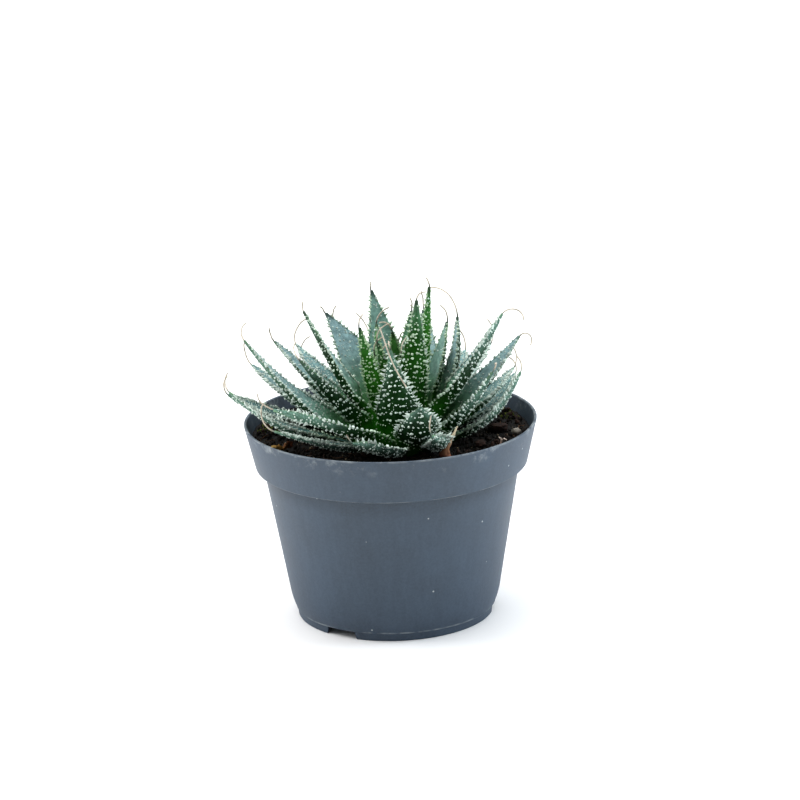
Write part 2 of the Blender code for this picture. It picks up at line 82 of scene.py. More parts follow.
# One leaf: compass angle of its base, place of its tip in mm from the pot's axis,
# how far it keeps its first direction, its width in mm, and its dry tip thread:
# length in mm, degrees that it curls, and the side that it curls to. A higher taper keeps
# the blade wide for longer, as on the leaf that folds over in front. The roll, in degrees,
# turns a blade about its own middle line, the kink is the angle that its thread starts at,
# and the frost is by how much older than its whorl it looks.
Leaf = namedtuple(
    "Leaf", "azimuth tip reach width awn curl side taper roll kink frost", defaults=(1.5, 0, 0, 0)
)

# Whorls from the soil up: name, lean above the horizon where they leave the crown,
# youth from 0 for the oldest leaves to 1 for the newest, and the leaves. The young ones, still
# folded together in the middle, have no solids in the frame.
WHORLS = (
    ("low", 6, 0.0, (
        Leaf(342, (53, -4, 101), 0.55, 9, 8, 60, 0),
        Leaf(306, (16, -46, 88), 0.75, 11, 9, 70, 75, kink=30),
        Leaf(272, (-15, -46, 86), 0.75, 11, 8, 90, 60, kink=30),
        Leaf(236, (-46, -32, 88), 0.50, 9, 14, 110, 20, 1.2),
        Leaf(198, (-64, -16, 100), 0.60, 9.5, 9, 80, 340, 1.0),
        Leaf(163, (-65, -6, 96), 0.75, 12, 9, 120, 320),
        Leaf(125, (-36, 44, 94), 0.55, 16, 14, 120, 330),
        Leaf(80, (14, 56, 93), 0.55, 16, 14, 140, 30),
        Leaf(30, (52, 26, 92), 0.55, 15, 12, 140, 30),
    )),
    ("outer", 19, 0.12, (
        Leaf(321, (41, -30, 109), 0.50, 10, 9, 110, 250),
        Leaf(284, (12, -42, 99), 0.90, 17, 36, 14, 255, 2.8, kink=38, frost=-0.12),
        Leaf(248, (-46, -34, 97), 0.70, 11, 12, 120, 180),
        Leaf(213, (-57, -18, 122), 0.45, 14, 9, 90, 320, 2.0, -30, frost=-0.12),
        Leaf(171, (-56, 16, 102), 0.55, 15, 12, 120, 20),
        Leaf(134, (-38, 38, 104), 0.55, 15, 14, 120, 340),
        Leaf(96, (-7, 52, 103), 0.55, 15, 14, 120, 30),
        Leaf(56, (32, 42, 98), 0.55, 16, 14, 130, 20),
        Leaf(15, (51, 14, 98), 0.55, 15, 12, 120, 350),
    )),
    ("spreading", 32, 0.3, (
        Leaf(344, (53, -6, 117), 0.45, 15, 10, 170, 190, 1.9, 22),
        Leaf(269, (1, -26, 118), 0.50, 18, 5, 60, 340),
        Leaf(222, (-35, -16, 112), 0.50, 14, 13, 70, 330),
        Leaf(165, (-46, 8, 114), 0.50, 15, 6, 60, 20),
        Leaf(120, (-22, 36, 110), 0.50, 14, 12, 110, 340),
        Leaf(77, (14, 42, 109), 0.50, 14, 12, 120, 20),
        Leaf(33, (42, 23, 106), 0.50, 14, 12, 120, 350),
    )),
    ("middle", 45, 0.45, (
        Leaf(322, (46, -8, 127), 0.50, 17, 13, 150, 190, 2.4, 26, frost=0.27),
        Leaf(10, (28, -4, 125), 0.50, 13, 20, 100, 60),
        Leaf(226, (-33, -10, 131), 0.50, 15, 4, 40, 20, roll=-44),
        Leaf(124, (-25, 12, 124), 0.45, 20, 4, 40, 20),
        Leaf(60, (15, 24, 121), 0.45, 16, 9, 90, 340),
    )),
    ("rising", 58, 0.6, (
        Leaf(290, (12, -14, 135), 0.50, 13, 6, 90, 90),
        Leaf(230, (-11, -16, 125), 0.50, 11, 6, 50, 20, frost=-0.15),
        Leaf(105, (-6, 8, 134), 0.45, 16, 4, 30, 0),
        Leaf(20, (24, 4, 121), 0.45, 13, 8, 80, 350),
    )),
    ("upright", 71, 0.75, (
        Leaf(335, (17, -8, 139), 0.40, 12, 4, 40, 0),
        Leaf(65, (10, 4, 126), 0.40, 12, 6, 60, 0),
        Leaf(155, (-4, 0, 122), 0.40, 10, 9, 80, 0),
        Leaf(245, (-4, -15, 118), 0.40, 9, 10, 90, 60),
    )),
    ("heart", 86, 1.0, (
        Leaf(90, (2, -10, 121), 0.40, 7, 9, 90, 60),
    )),
    ("young", 78, 1.0, (
        Leaf(20, (12, -9, 112), 0.40, 7, 8, 80, 30),
        Leaf(95, (4, -3, 113), 0.40, 8, 8, 80, 330),
        Leaf(180, (-5, -10, 112), 0.40, 7, 9, 90, 20),
        Leaf(210, (-2, -13, 110), 0.40, 6, 9, 90, 340),
        Leaf(285, (5, -19, 113), 0.40, 7, 10, 100, 40),
        Leaf(350, (12, -14, 111), 0.40, 7, 9, 80, 320),
    )),
)

# What each vertex of a leaf's carrier mesh stands for.
SKIN, THREAD, BUMP, GRANULE, TOOTH = range(5)


def linear(hex_color):
    """Turn an sRGB hex value into linear red, green and blue."""
    channels = [int(hex_color[i:i + 2], 16) / 255 for i in (1, 3, 5)]
    return tuple(c / 12.92 if c <= 0.04045 else ((c + 0.055) / 1.055) ** 2.4 for c in channels)


def color_property(name, description, hex_color):
    """A colour setting, its default in sRGB hex."""
    return FloatVectorProperty(
        name=name, description=description, subtype="COLOR", min=0.0, max=1.0, default=linear(hex_color)
    )


def length_property(name, description, millimetres):
    """A length setting, its default in mm."""
    return FloatProperty(
        name=name, description=description, subtype="DISTANCE", unit="LENGTH",
        min=0.0, default=millimetres * MM, precision=5,
    )


class AloePotSettings(bpy.types.PropertyGroup):
    wall: length_property("Wall", "Thickness of the moulded wall", 1.2)
    collar_depth: length_property("Collar Depth", "Height of the band below the rim", 18.4)
    collar_taper: length_property("Collar Taper", "How far the collar narrows downwards", 4.3)
    collar_step: length_property("Collar Step", "How far the body steps in below the collar", 3.1)
    body_foot: length_property("Body Foot Radius", "Radius of the body where it meets the foot ring", 42.2)
    foot_radius: length_property("Foot Radius", "Outside radius of the foot ring", 40.5)
    foot_height: length_property("Foot Height", "Height of the foot ring", 3.6)
    plastic: color_property("Plastic", "Slate grey polypropylene", "#3d4b5a")
    lime: color_property("Lime", "Dried splashes of hard water and dust", "#a9afb0")


class AloeSoilSettings(bpy.types.PropertyGroup):
    roughness: length_property("Roughness", "Height of the lumps in the peat", 1.6)
    crumb_density: FloatProperty(
        name="Crumb Density", description="Loose crumbs on a square metre", min=0.0, default=330000.0
    )
    fibre_density: FloatProperty(
        name="Fibre Density", description="Fibres on a square metre", min=0.0, default=22000.0
    )
    peat: color_property("Peat", "Moist peat", "#110e0b")
    bark: color_property("Bark", "Chips of pine bark", "#3c271b")
    fibre: color_property("Fibre", "Dry roots and stalks in the peat", "#7b5b3d")
    seed: IntProperty(name="Seed", description="Seed of the loose crumbs", default=5)


class AloeLeafSettings(bpy.types.PropertyGroup):
    base_width: length_property("Base Width", "Width of a blade where it clasps the stem", 9.0)
    base_thickness: length_property("Base Thickness", "Thickness of a blade at its foot", 2.0)
    tip_width: length_property("Tip Width", "Width where the blade turns into its dry thread", 1.3)
    tip_thickness: length_property("Tip Thickness", "Thickness at the same place", 1.0)
    bump_radius: length_property("Tubercle Radius", "Half the width of a tubercle", 0.5)
    bump_height: length_property("Tubercle Height", "How far a tubercle stands out", 0.55)
    granule_radius: length_property("Granule Radius", "Half the width of a granule of meal", 0.3)
    tooth_length: length_property("Tooth Length", "Length of a soft marginal tooth", 1.5)
    tooth_radius: length_property("Tooth Radius", "Half the width of a tooth at its root", 0.58)
    thread_radius: length_property("Thread Radius", "Half the thickness of the dry tip", 0.3)
    dark_green: color_property("Back Green", "Back of a blade", "#0b2f0a")
    slate_green: color_property("Tip Green", "Upper part of the back of a blade", "#507060")
    fresh_green: color_property("Fresh Green", "Foot of a blade, and the newest leaves", "#4b8a28")
    face_green: color_property("Face Green", "Upper face of a younger blade", "#94b0b4")
    old_face: color_property("Old Face", "Upper face of the oldest blades", "#527275")
    bloom: color_property("Bloom", "Mealy film on older leaves", "#8ba8a0")
    pearl: color_property("Pearl", "Tubercles and teeth", "#dcebe1")
    straw: color_property("Straw", "Dry tip threads", "#c3b9a8")


class AloeStageSettings(bpy.types.PropertyGroup):
    floor: color_property("Floor", "Plain pale floor", "#f6f6f6")
    lens: FloatProperty(name="Lens", description="Focal length in mm", min=1.0, default=151.9)


def per(millimetres):
    """Scale of a pattern from its spacing: how many times it repeats in a metre, to the nearest one."""
    return round(1 / (millimetres * MM))


def fill(node, *ordered, **named):
    """Set a node's inputs, or link those that are given a socket.

    Ordered values go to the inputs in use, from the first. Names are the inputs' own, with
    underscores for spaces. A colour comes without its alpha, and a list links all its sockets.
    """
    given = list(zip([socket for socket in node.inputs if socket.enabled], ordered))
    given += [(node.inputs[name.replace("_", " ")], value) for name, value in named.items()]
    for socket, value in given:
        for one in value if isinstance(value, list) else [value]:
            if isinstance(one, bpy.types.NodeSocket):
                node.id_data.links.new(one, socket)
            else:
                socket.default_value = (*one, 1) if socket.type == "RGBA" else one


def add_node(tree, kind, *ordered, **named):
    """Add a node with its settings and links, and return its first output in use.

    Named values with a capital are inputs, the others are settings.
    """
    node = tree.nodes.new(kind if "Node" in kind else "ShaderNode" + kind)
    node.location.x = 180 * len(tree.nodes)
    for name, value in named.items():
        if name[0].islower():
            setattr(node, name, value)
    fill(node, *ordered, **{name: value for name, value in named.items() if name[0].isupper()})
    return next((socket for socket in node.outputs if socket.enabled), None)


def new_material(name):
    """Start a material: returns it, its Principled shader, and what adds a node to its tree."""
    made = bpy.data.materials.new(name)
    made.use_nodes = True
    return made, made.node_tree.nodes["Principled BSDF"], partial(add_node, made.node_tree)


def new_tree(name, sockets):
    """Start a Geometry Nodes tree: returns it, what adds a node to it, and its named inputs."""
    tree = bpy.data.node_groups.new(name, "GeometryNodeTree")
    tree.interface.new_socket("Geometry", in_out="OUTPUT", socket_type="NodeSocketGeometry")
    for label, kind in (("Geometry", "Geometry"), *sockets):
        tree.interface.new_socket(label, in_out="INPUT", socket_type="NodeSocket" + kind)
    return tree, partial(add_node, tree), tree.nodes.new("NodeGroupInput").outputs


def plain_object(name, mesh):
    """Link a mesh, a lamp or a camera as an object at the origin."""
    made = bpy.data.objects.new(name, mesh)
    bpy.context.scene.collection.objects.link(made)
    return made


def bake_modifiers(obj):
    """Replace an object's mesh by what its modifiers make of it, and remove them."""
    graph = bpy.context.evaluated_depsgraph_get()
    mesh = bpy.data.meshes.new_from_object(obj.evaluated_get(graph))
    obj.modifiers.clear()
    obj.data = mesh
    return obj


def run_tree(name, carrier, tree, values):
    """Run a tree on a carrier mesh and keep the result as a plain object."""
    obj = plain_object(name, carrier)
    modifier = obj.modifiers.new(tree.name, "NODES")
    modifier.node_group = tree
    for item in tree.interface.items_tree:
        if item.in_out == "INPUT" and item.name in values:
            modifier[item.identifier] = values[item.name]
    return bake_modifiers(obj)


def finish_piece(obj, slot, *nodes):
    """Let a finished piece ride on the part, in the place of its nodes."""
    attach(obj, "root")
    if nodes:
        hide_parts(*nodes)
    return obj


def mesh_from(bm, name, closed=True):
    """Turn a bmesh into a mesh; the faces of a closed one are made to point out."""
    if closed:
        bmesh.ops.recalc_face_normals(bm, faces=bm.faces)
    mesh = bpy.data.meshes.new(name)
    bm.to_mesh(mesh)
    bm.free()
    return mesh


def shaded(obj, material):
    """Shade a piece smooth and give it its material."""
    obj.data.shade_smooth()
    obj.data.materials.append(material)
    return obj


def quads(rings):
    """Corners of the faces between each ring of vertices and the next."""
    for low, high in zip(rings, rings[1:]):
        for k in range(len(low)):
            n = (k + 1) % len(low)
            yield low[k], high[k], high[n], low[n]


def turned_object(name, profile, steps):
    """Turn a line of (radius, height) points about the pot's axis."""
    mesh = bpy.data.meshes.new(name)
    mesh.from_pydata([(r, 0.0, z) for r, z in profile], [(i, i + 1) for i in range(len(profile) - 1)], [])
    obj = plain_object(name, mesh)
    turn = obj.modifiers.new("turned", "SCREW")
    turn.steps = steps
    turn.render_steps = steps
    turn.use_merge_vertices = True
    turn.merge_threshold = 0.00002
    bake_modifiers(obj)
    bm = bmesh.new()
    bm.from_mesh(obj.data)
    bmesh.ops.translate(bm, verts=bm.verts, vec=AXIS)
    obj.data = mesh_from(bm, name)
    return obj


def rounded(corners, steps):
    """A line through (radius, height, rounding) corners, each rounded by a short curve."""
    line = []
    for i, (r, z, fillet) in enumerate(corners):
        here = Vector((r, z))
        if fillet == 0 or i in (0, len(corners) - 1):
            line.append((r, z))
            continue
        before = Vector(corners[i - 1][:2])
        after = Vector(corners[i + 1][:2])
        start = here + (before - here).normalized() * min(fillet, (before - here).length * 0.49)
        end = here + (after - here).normalized() * min(fillet, (after - here).length * 0.49)
        for k in range(steps + 1):
            t = k / steps
            place = start * (1 - t) ** 2 + here * (2 * t * (1 - t)) + end * t ** 2
            line.append((place.x, place.y))
    return line


def step_height(pot):
    """Height of the step below the collar."""
    return POT_HEIGHT - pot.collar_depth


def pot_inner_radius(pot, height):
    """Inside radius of the collar or the body at a height."""
    if height > step_height(pot) + pot.wall:
        return RIM_RADIUS - pot.wall - pot.collar_taper * (POT_HEIGHT - height) / pot.collar_depth
    body_top = RIM_RADIUS - pot.collar_taper - pot.collar_step
    share = (height - pot.foot_height) / (step_height(pot) - pot.foot_height)
    return pot.body_foot + (body_top - pot.body_foot) * share - pot.wall


def pot_corners(pot):
    """Half section of the pot as (radius, height, rounding): up the inside, over the lip, down outside."""
    floor_top = pot.foot_height + 1.4 * MM
    step = step_height(pot)
    ledge = step + pot.wall
    collar_foot = RIM_RADIUS - pot.collar_taper
    foot = pot.foot_height
    bend = 8.0 * MM
    return (
        (0.0, floor_top, 0),
        (pot_inner_radius(pot, floor_top), floor_top, 1.2 * MM),
        (pot_inner_radius(pot, ledge - 0.1 * MM), ledge - 0.1 * MM, 0.5 * MM),
        (pot_inner_radius(pot, ledge + 0.1 * MM), ledge + 0.1 * MM, 0.5 * MM),
        (RIM_RADIUS - pot.wall, POT_HEIGHT, 0.5 * MM),
        (RIM_RADIUS, POT_HEIGHT, 0.5 * MM),
        (collar_foot, step, 0.7 * MM),
        (collar_foot - pot.collar_step, step, 0.8 * MM),
        (pot_inner_radius(pot, bend) + pot.wall, bend, 3.2 * MM),
        (pot.foot_radius + 0.9 * MM, foot + 0.3 * MM, 0.4 * MM),
        (pot.foot_radius + 0.85 * MM, foot - 0.15 * MM, 0.15 * MM),
        (pot.foot_radius + 0.35 * MM, foot - 0.5 * MM, 0.2 * MM),
        (pot.foot_radius, 0.0, 0.3 * MM),
        (pot.foot_radius - pot.wall, 0.0, 0.3 * MM),
        (pot.foot_radius - pot.wall, foot, 0.4 * MM),
        (0.0, foot, 0),
    )


NOTCH_ANGLES = (236.0, 356.0, 116.0)
NOTCH_WIDTH = 16.5 * MM
NOTCH_SLANT = 1.8 * MM
DRAIN_RADIUS = 3.5 * MM
DRAIN_CIRCLE = 28.0 * MM
DRAIN_COUNT = 6


def pot_cutter(pot):
    """One mesh that holds the wedges for the notches and the plugs for the drain holes."""
    bm = bmesh.new()
    for angle in NOTCH_ANGLES:
        wedge = bmesh.ops.create_cube(bm, size=1.0)["verts"]
        for vert in wedge:
            low = vert.co.z < 0
            half = NOTCH_WIDTH / 2 - (0.0 if low else NOTCH_SLANT)
            vert.co.y = math.copysign(half, vert.co.y)
            vert.co.x = pot.foot_radius + math.copysign(4.0 * MM, vert.co.x)
            vert.co.z = -4.0 * MM if low else pot.foot_height - 0.2 * MM
        bmesh.ops.rotate(bm, verts=wedge, matrix=Matrix.Rotation(math.radians(angle), 3, "Z"))
    for i in range(DRAIN_COUNT):
        angle = 2 * math.pi * (i + 0.5) / DRAIN_COUNT
        plug = bmesh.ops.create_cone(
            bm, cap_ends=True, segments=40, radius1=DRAIN_RADIUS, radius2=DRAIN_RADIUS, depth=8 * MM
        )["verts"]
        place = Vector((math.cos(angle), math.sin(angle), 0.0)) * DRAIN_CIRCLE
        bmesh.ops.translate(bm, verts=plug, vec=place + Vector((0, 0, pot.foot_height)))
    bmesh.ops.translate(bm, verts=bm.verts, vec=AXIS)
    return plain_object("pot_cutter", mesh_from(bm, "pot_cutter"))


def polypropylene(pot):
    """Polypropylene, injection moulded: an even satin grey with fine drawn streaks.

    Near the rim dried splashes of lime dull it, and grains of dust cling to the wall. Pale lines run
    along the foot ring, the collar's edge and the lip: scuffs at the foot ring, wear and painted
    highlight at the collar's edge and the lip. A mottled painted shade darkens the wall below the
    collar's step, and the wall is painted a little paler towards the top for the light from above.
    """
    made, shader, node = new_material("moulded_polypropylene")
    place = node("TexCoord").node.outputs["Object"]
    height = node("SeparateXYZ", place).node.outputs["Z"]
    # Flow streaks, 2.4 mm apart and 83 mm long, over clouds of 18 mm and grains of dust of 0.9 mm.
    drawn = node("Mapping", place, Scale=(per(2.38), per(2.38), per(83)))
    streaks = node("TexNoise", drawn, Scale=1.0, Detail=4.0, Roughness=0.6)
    clouds = node("TexNoise", place, Scale=per(18.2), Detail=3.0)
    dust = node("TexNoise", place, Scale=per(0.909), Detail=3.0, Roughness=0.7)
    streaked = node("Math", streaks, 0.45, dust, operation="MULTIPLY_ADD")
    shade = node("Math", clouds, 0.7, streaked, operation="MULTIPLY_ADD")
    tone = node("MapRange", shade, 0.78, 1.37, 0.8, 1.2)
    patches = node("TexNoise", place, Scale=per(9.52), Detail=7.0, Roughness=0.72)
    step = step_height(pot)
    # Painted shade: a mottled band just below the collar's step darkens the body wall, where the step
    # shades it.
    below_collar = node("MapRange", height, step - 8 * MM, step - 0.8 * MM, 0, 0.6)
    on_body = node("Math", height, step + 0.3 * MM, operation="LESS_THAN")
    step_shade_band = node("Math", below_collar, on_body, operation="MULTIPLY")
    painted_step_shade = node("Math", step_shade_band, patches, operation="MULTIPLY")
    unshaded = node("Math", 1.0, painted_step_shade, operation="SUBTRACT")
    tone = node("Math", tone, unshaded, operation="MULTIPLY")
    base = node("VectorMath", pot.plastic, tone, operation="SCALE")
    patchy = node("MapRange", patches, 0.54, 0.72)
    near_rim = node("MapRange", height, POT_HEIGHT - 7 * MM, POT_HEIGHT - 1 * MM, 0, 0.8)
    rim_lime = node("Math", patchy, near_rim, operation="MULTIPLY")
    # Specks of lime 0.8 mm across, in cells of 10 mm.
    speck_cells = node("TexVoronoi", place, Scale=per(10))
    lime_and_edge_highlight = node("MapRange", speck_cells, 0.045, 0.03, 0, 0.9)
    lime_and_edge_highlight = node("Math", rim_lime, lime_and_edge_highlight, operation="MAXIMUM")
    # Pale lines along the foot ring, the collar's edge and the lip: scuffs at the foot ring, wear and
    # painted highlight at the collar's edge and the lip.
    scuff_and_glint_noise = node("MapRange", node("TexNoise", place, Scale=per(5.26), Detail=6.0), 0.4, 0.66)
    for edge, reach, strength in (
        (pot.foot_height, 0.55 * MM, 0.55), (step, 0.5 * MM, 0.5), (POT_HEIGHT - 0.2 * MM, 0.55 * MM, 0.5),
    ):
        off_edge = node("Math", node("Math", height, edge, operation="SUBTRACT"), operation="ABSOLUTE")
        worn = node("MapRange", off_edge, reach, 0.1 * MM, 0, strength)
        edge_wear_and_highlight = node("Math", worn, scuff_and_glint_noise, operation="MULTIPLY")
        lime_and_edge_highlight = node("Math", lime_and_edge_highlight, edge_wear_and_highlight, operation="MAXIMUM")
    color = node("Mix", lime_and_edge_highlight, base, pot.lime, data_type="RGBA")
    rough = node("MapRange", lime_and_edge_highlight, 0, 1, 0.46, 0.85)
    rough_mottle = node("Math", clouds, 0.16, rough, operation="MULTIPLY_ADD")
    # Moulding grit: really finer than 0.1 mm, and drawn at 0.4 mm so that it shows.
    grain = node("TexNoise", place, Scale=per(0.3846), Detail=2.0)
    relief = node("Math", streaks, 0.5, grain, operation="MULTIPLY_ADD")
    bump = node("Bump", Height=relief, Strength=0.22, Distance=0.06 * MM)
    # Painted light: the higher the wall, the more it is mixed towards the pale lime, paler at the top where
    # more light falls.
    paler_upwards = node("MapRange", height, 0, POT_HEIGHT, 0, 0.05)
    lit_from_above = node("Mix", paler_upwards, color, pot.lime, data_type="RGBA")
    fill(shader, Base_Color=lit_from_above, Roughness=rough_mottle, Normal=bump, IOR=1.49)
    return made


class ALOE_OT_pot(bpy.types.Operator):
    """Turn the nursery pot, cut its notches and drain holes, and give it its moulded finish"""
    bl_idname = "aloe.pot"
    bl_label = "Nursery Pot"

    def execute(self, context):
        pot = context.scene.aloe_pot
        obj = turned_object("nursery_pot", rounded(pot_corners(pot), 4), 192)
        cutter = pot_cutter(pot)
        cut = obj.modifiers.new("cut", "BOOLEAN")
        cut.object = cutter
        cut.solver = "EXACT"
        bake_modifiers(obj)
        bpy.data.objects.remove(cutter)
        shaded(obj, polypropylene(pot)).data.set_sharp_from_angle(angle=math.radians(40))
        finish_piece(obj, "pot", "pot")
        return {"FINISHED"}


def soil_level(x, y, roughness):
    """Height of the peat at a place: broad swells, lumps and fine crumbs."""
    here = Vector((x, y, 0.0))
    swell = noise.noise(here * 45) * 1.2
    lumps = noise.noise(here * 160 + Vector((3, 7, 1)))
    crumbs = noise.fractal(here * 520, 0.7, 2.0, 3) * 0.8
    return SOIL_TOP + roughness * (0.45 * swell + 0.40 * lumps + 0.30 * crumbs)


SOIL_CLEARANCE = 0.3 * MM
SOIL_RINGS = 84
SOIL_STEPS = 240


def soil_mesh(pot, roughness):
    """The plug of peat: a rough top as a polar grid, closed by a plain side and bottom."""
    edge = pot_inner_radius(pot, SOIL_TOP) - SOIL_CLEARANCE
    ledge = step_height(pot) + pot.wall
    top = [(edge * i / SOIL_RINGS, None) for i in range(1, SOIL_RINGS + 1)]
    side = [
        (pot_inner_radius(pot, ledge + 1 * MM) - SOIL_CLEARANCE, ledge + 1 * MM),
        (pot_inner_radius(pot, ledge) - SOIL_CLEARANCE, ledge + 1 * MM),
        (pot_inner_radius(pot, SOIL_LOW.z) - 1.5 * MM, SOIL_LOW.z),
    ]
    bm = bmesh.new()
    rings = []
    for radius, z in top + side:
        ring = []
        for k in range(SOIL_STEPS):
            angle = 2 * math.pi * k / SOIL_STEPS
            x = AXIS.x + radius * math.cos(angle)
            y = AXIS.y + radius * math.sin(angle)
            ring.append(bm.verts.new((x, y, soil_level(x, y, roughness) if z is None else z)))
        rings.append(ring)
    for low, high in zip(rings, rings[1:]):
        for k in range(SOIL_STEPS):
            n = (k + 1) % SOIL_STEPS
            bm.faces.new((low[k], high[k], high[n], low[n]))
    middle = bm.verts.new((AXIS.x, AXIS.y, soil_level(AXIS.x, AXIS.y, roughness)))
    for k in range(SOIL_STEPS):
        bm.faces.new((middle, rings[0][k], rings[0][(k + 1) % SOIL_STEPS]))
    bm.faces.new(list(reversed(rings[-1])))
    return mesh_from(bm, "peat")


def peat(soil):
    """Sphagnum peat, moist and crumbled: nearly black, with brown flecks of fibre and a dull wet sheen."""
    made, shader, node = new_material("moist_peat")
    place = node("TexCoord").node.outputs["Object"]
    # Crumbs of 1.1 mm, in patches of 7 mm that are more or less brown.
    crumbs = node("TexNoise", place, Scale=per(1.111), Detail=6.0, Roughness=0.7)
    patches = node("TexNoise", place, Scale=per(6.67), Detail=3.0)
    flecks = node("MapRange", crumbs, 0.58, 0.72)
    browner = node("MapRange", patches, 0.4, 0.7, 0.6, 1.7)
    base = node("VectorMath", soil.peat, browner, operation="SCALE")
    color = node("Mix", flecks, base, soil.bark, data_type="RGBA")
    bump = node("Bump", Height=crumbs, Strength=0.9, Distance=0.8 * MM)
    fill(shader, Base_Color=color, Roughness=0.82, Normal=bump)
    return made


def litter_material(name, light, dark, rough):
    """Dry plant matter: two tones run together in grains of about a millimetre, dull and rough."""
    made, shader, node = new_material(name)
    place = node("TexCoord").node.outputs["Object"]
    grain = node("TexNoise", place, Scale=per(1.429), Detail=5.0, Roughness=0.65)
    spread = node("MapRange", grain, 0.35, 0.65)
    color = node("Mix", spread, dark, light, data_type="RGBA")
    bump = node("Bump", Height=grain, Strength=0.7, Distance=0.3 * MM)
    fill(shader, Base_Color=color, Roughness=rough, Normal=bump)
    return made


def lump_mesh(name, size, dice, subdivisions, wildness):
    """A rough lump: a ball squeezed to size, with its surface pushed about by noise."""
    bm = bmesh.new()
    bmesh.ops.create_icosphere(bm, subdivisions=subdivisions, radius=1.0)
    shift = Vector([dice.uniform(0, 50) for _ in range(3)])
    for vert in bm.verts:
        swell = noise.noise(vert.co * 1.3 + shift)
        grit = noise.noise(vert.co * 4 + shift)
        push = 1 + wildness * swell + 0.4 * wildness * grit
        vert.co = Vector([vert.co[i] * size[i] / 2 * push for i in range(3)])
    return mesh_from(bm, name)


def chip_mesh(name, size, dice):
    """A chip of bark: a flat slab with worn corners, broken along its grain."""
    bm = bmesh.new()
    bmesh.ops.create_cube(bm, size=2.0)
    bmesh.ops.subdivide_edges(bm, edges=bm.edges, cuts=9, use_grid_fill=True)
    shift = Vector([dice.uniform(0, 50) for _ in range(3)])
    for vert in bm.verts:
        worn = vert.co.lerp(vert.co.normalized(), 0.6)
        flake = noise.noise(Vector((0.9 * worn.x, 3.0 * worn.y, 4 * worn.z)) + shift)
        grit = noise.fractal(worn * 2.6 + shift, 0.6, 2.0, 3)
        push = 1 + 0.3 * flake + 0.22 * grit
        vert.co = Vector([worn[i] * size[i] / 2 * push for i in range(3)])
    return mesh_from(bm, name)


def fibre_mesh(name, dice):
    """A thin bent fibre of unit length that lies along X."""
    bm = bmesh.new()
    rings = []
    bend = dice.uniform(0.08, 0.3) * dice.choice((-1, 1))
    for i in range(7):
        t = i / 6
        middle = Vector((t - 0.5, bend * math.sin(math.pi * t), 0.06 * math.sin(2 * math.pi * t)))
        radius = 0.035 * (1.1 - 0.5 * t)
        corners = [Vector((0, math.cos(math.pi / 2 * k), math.sin(math.pi / 2 * k))) for k in range(4)]
        rings.append([bm.verts.new(middle + corner * radius) for corner in corners])
    for corners in (*quads(rings), rings[0], rings[-1]):
        bm.faces.new(corners)
    return mesh_from(bm, name)


def scatter_tree():
    """Scatters the shapes of a collection over a mesh, each turned and sized at random."""
    tree, node, given = new_tree("scattered_litter", (
        ("Shapes", "Collection"), ("Density", "Float"), ("Smallest", "Float"), ("Largest", "Float"),
        ("Tilt", "Float"), ("Lift", "Float"), ("Seed", "Int"), ("Material", "Material"),
    ))
    seed, tilt = given["Seed"], given["Tilt"]
    points = node(
        "GeometryNodeDistributePointsOnFaces", Mesh=given["Geometry"], Density=given["Density"], Seed=seed
    )
    shapes = node("GeometryNodeCollectionInfo", given["Shapes"], True, True)
    chance = node("FunctionNodeRandomValue", 0.0, 1.0, Seed=seed)
    mostly_small = node("Math", chance, 2.2, operation="POWER")
    size = node("MapRange", mostly_small, 0, 1, given["Smallest"], given["Largest"])
    back = node("Math", tilt, -1.0, operation="MULTIPLY")
    least = node("CombineXYZ", back, back, 0.0)
    most = node("CombineXYZ", tilt, tilt, 2 * math.pi)
    turn = node("FunctionNodeRandomValue", least, most, Seed=seed, data_type="FLOAT_VECTOR")
    placed = node(
        "GeometryNodeInstanceOnPoints", points,
        Instance=shapes, Pick_Instance=True, Rotation=turn, Scale=size,
    )
    rise = node("Math", size, given["Lift"], operation="MULTIPLY")
    up = node("CombineXYZ", Z=rise)
    lifted = node("GeometryNodeTranslateInstances", placed, Translation=up, Local_Space=False)
    real = node("GeometryNodeRealizeInstances", lifted)
    node("NodeGroupOutput", node("GeometryNodeSetMaterial", real, Material=given["Material"]))
    return tree


def shape_collection(name, meshes):
    """A collection of unlinked shapes for a tree to scatter."""
    collection = bpy.data.collections.new(name)
    for mesh in meshes:
        collection.objects.link(bpy.data.objects.new(mesh.name, mesh))
    return collection


SCATTER_RADIUS = 55.5 * MM

# Cushions of moss: place of the middle in mm from the pot's axis, and radius in mm.
MOSS_PATCHES = (((46, 22), 9.0), ((-50, 12), 8.0), ((-8, 50), 10.0))


def soil_patch(ground, middle=(0, 0), radius=SCATTER_RADIUS):
    """A copy of the open top of the soil inside a circle, to scatter on."""
    center = AXIS + Vector((*middle, 0)) * MM
    bm = bmesh.new()
    bm.from_mesh(ground)
    hidden = [
        f for f in bm.faces
        if f.normal.z < 0.2 or (f.calc_center_median() - center).xy.length > radius
        or (f.calc_center_median() - AXIS).xy.length > SCATTER_RADIUS
    ]
    bmesh.ops.delete(bm, geom=hidden, context="FACES")
    return mesh_from(bm, "soil_patch", closed=False)


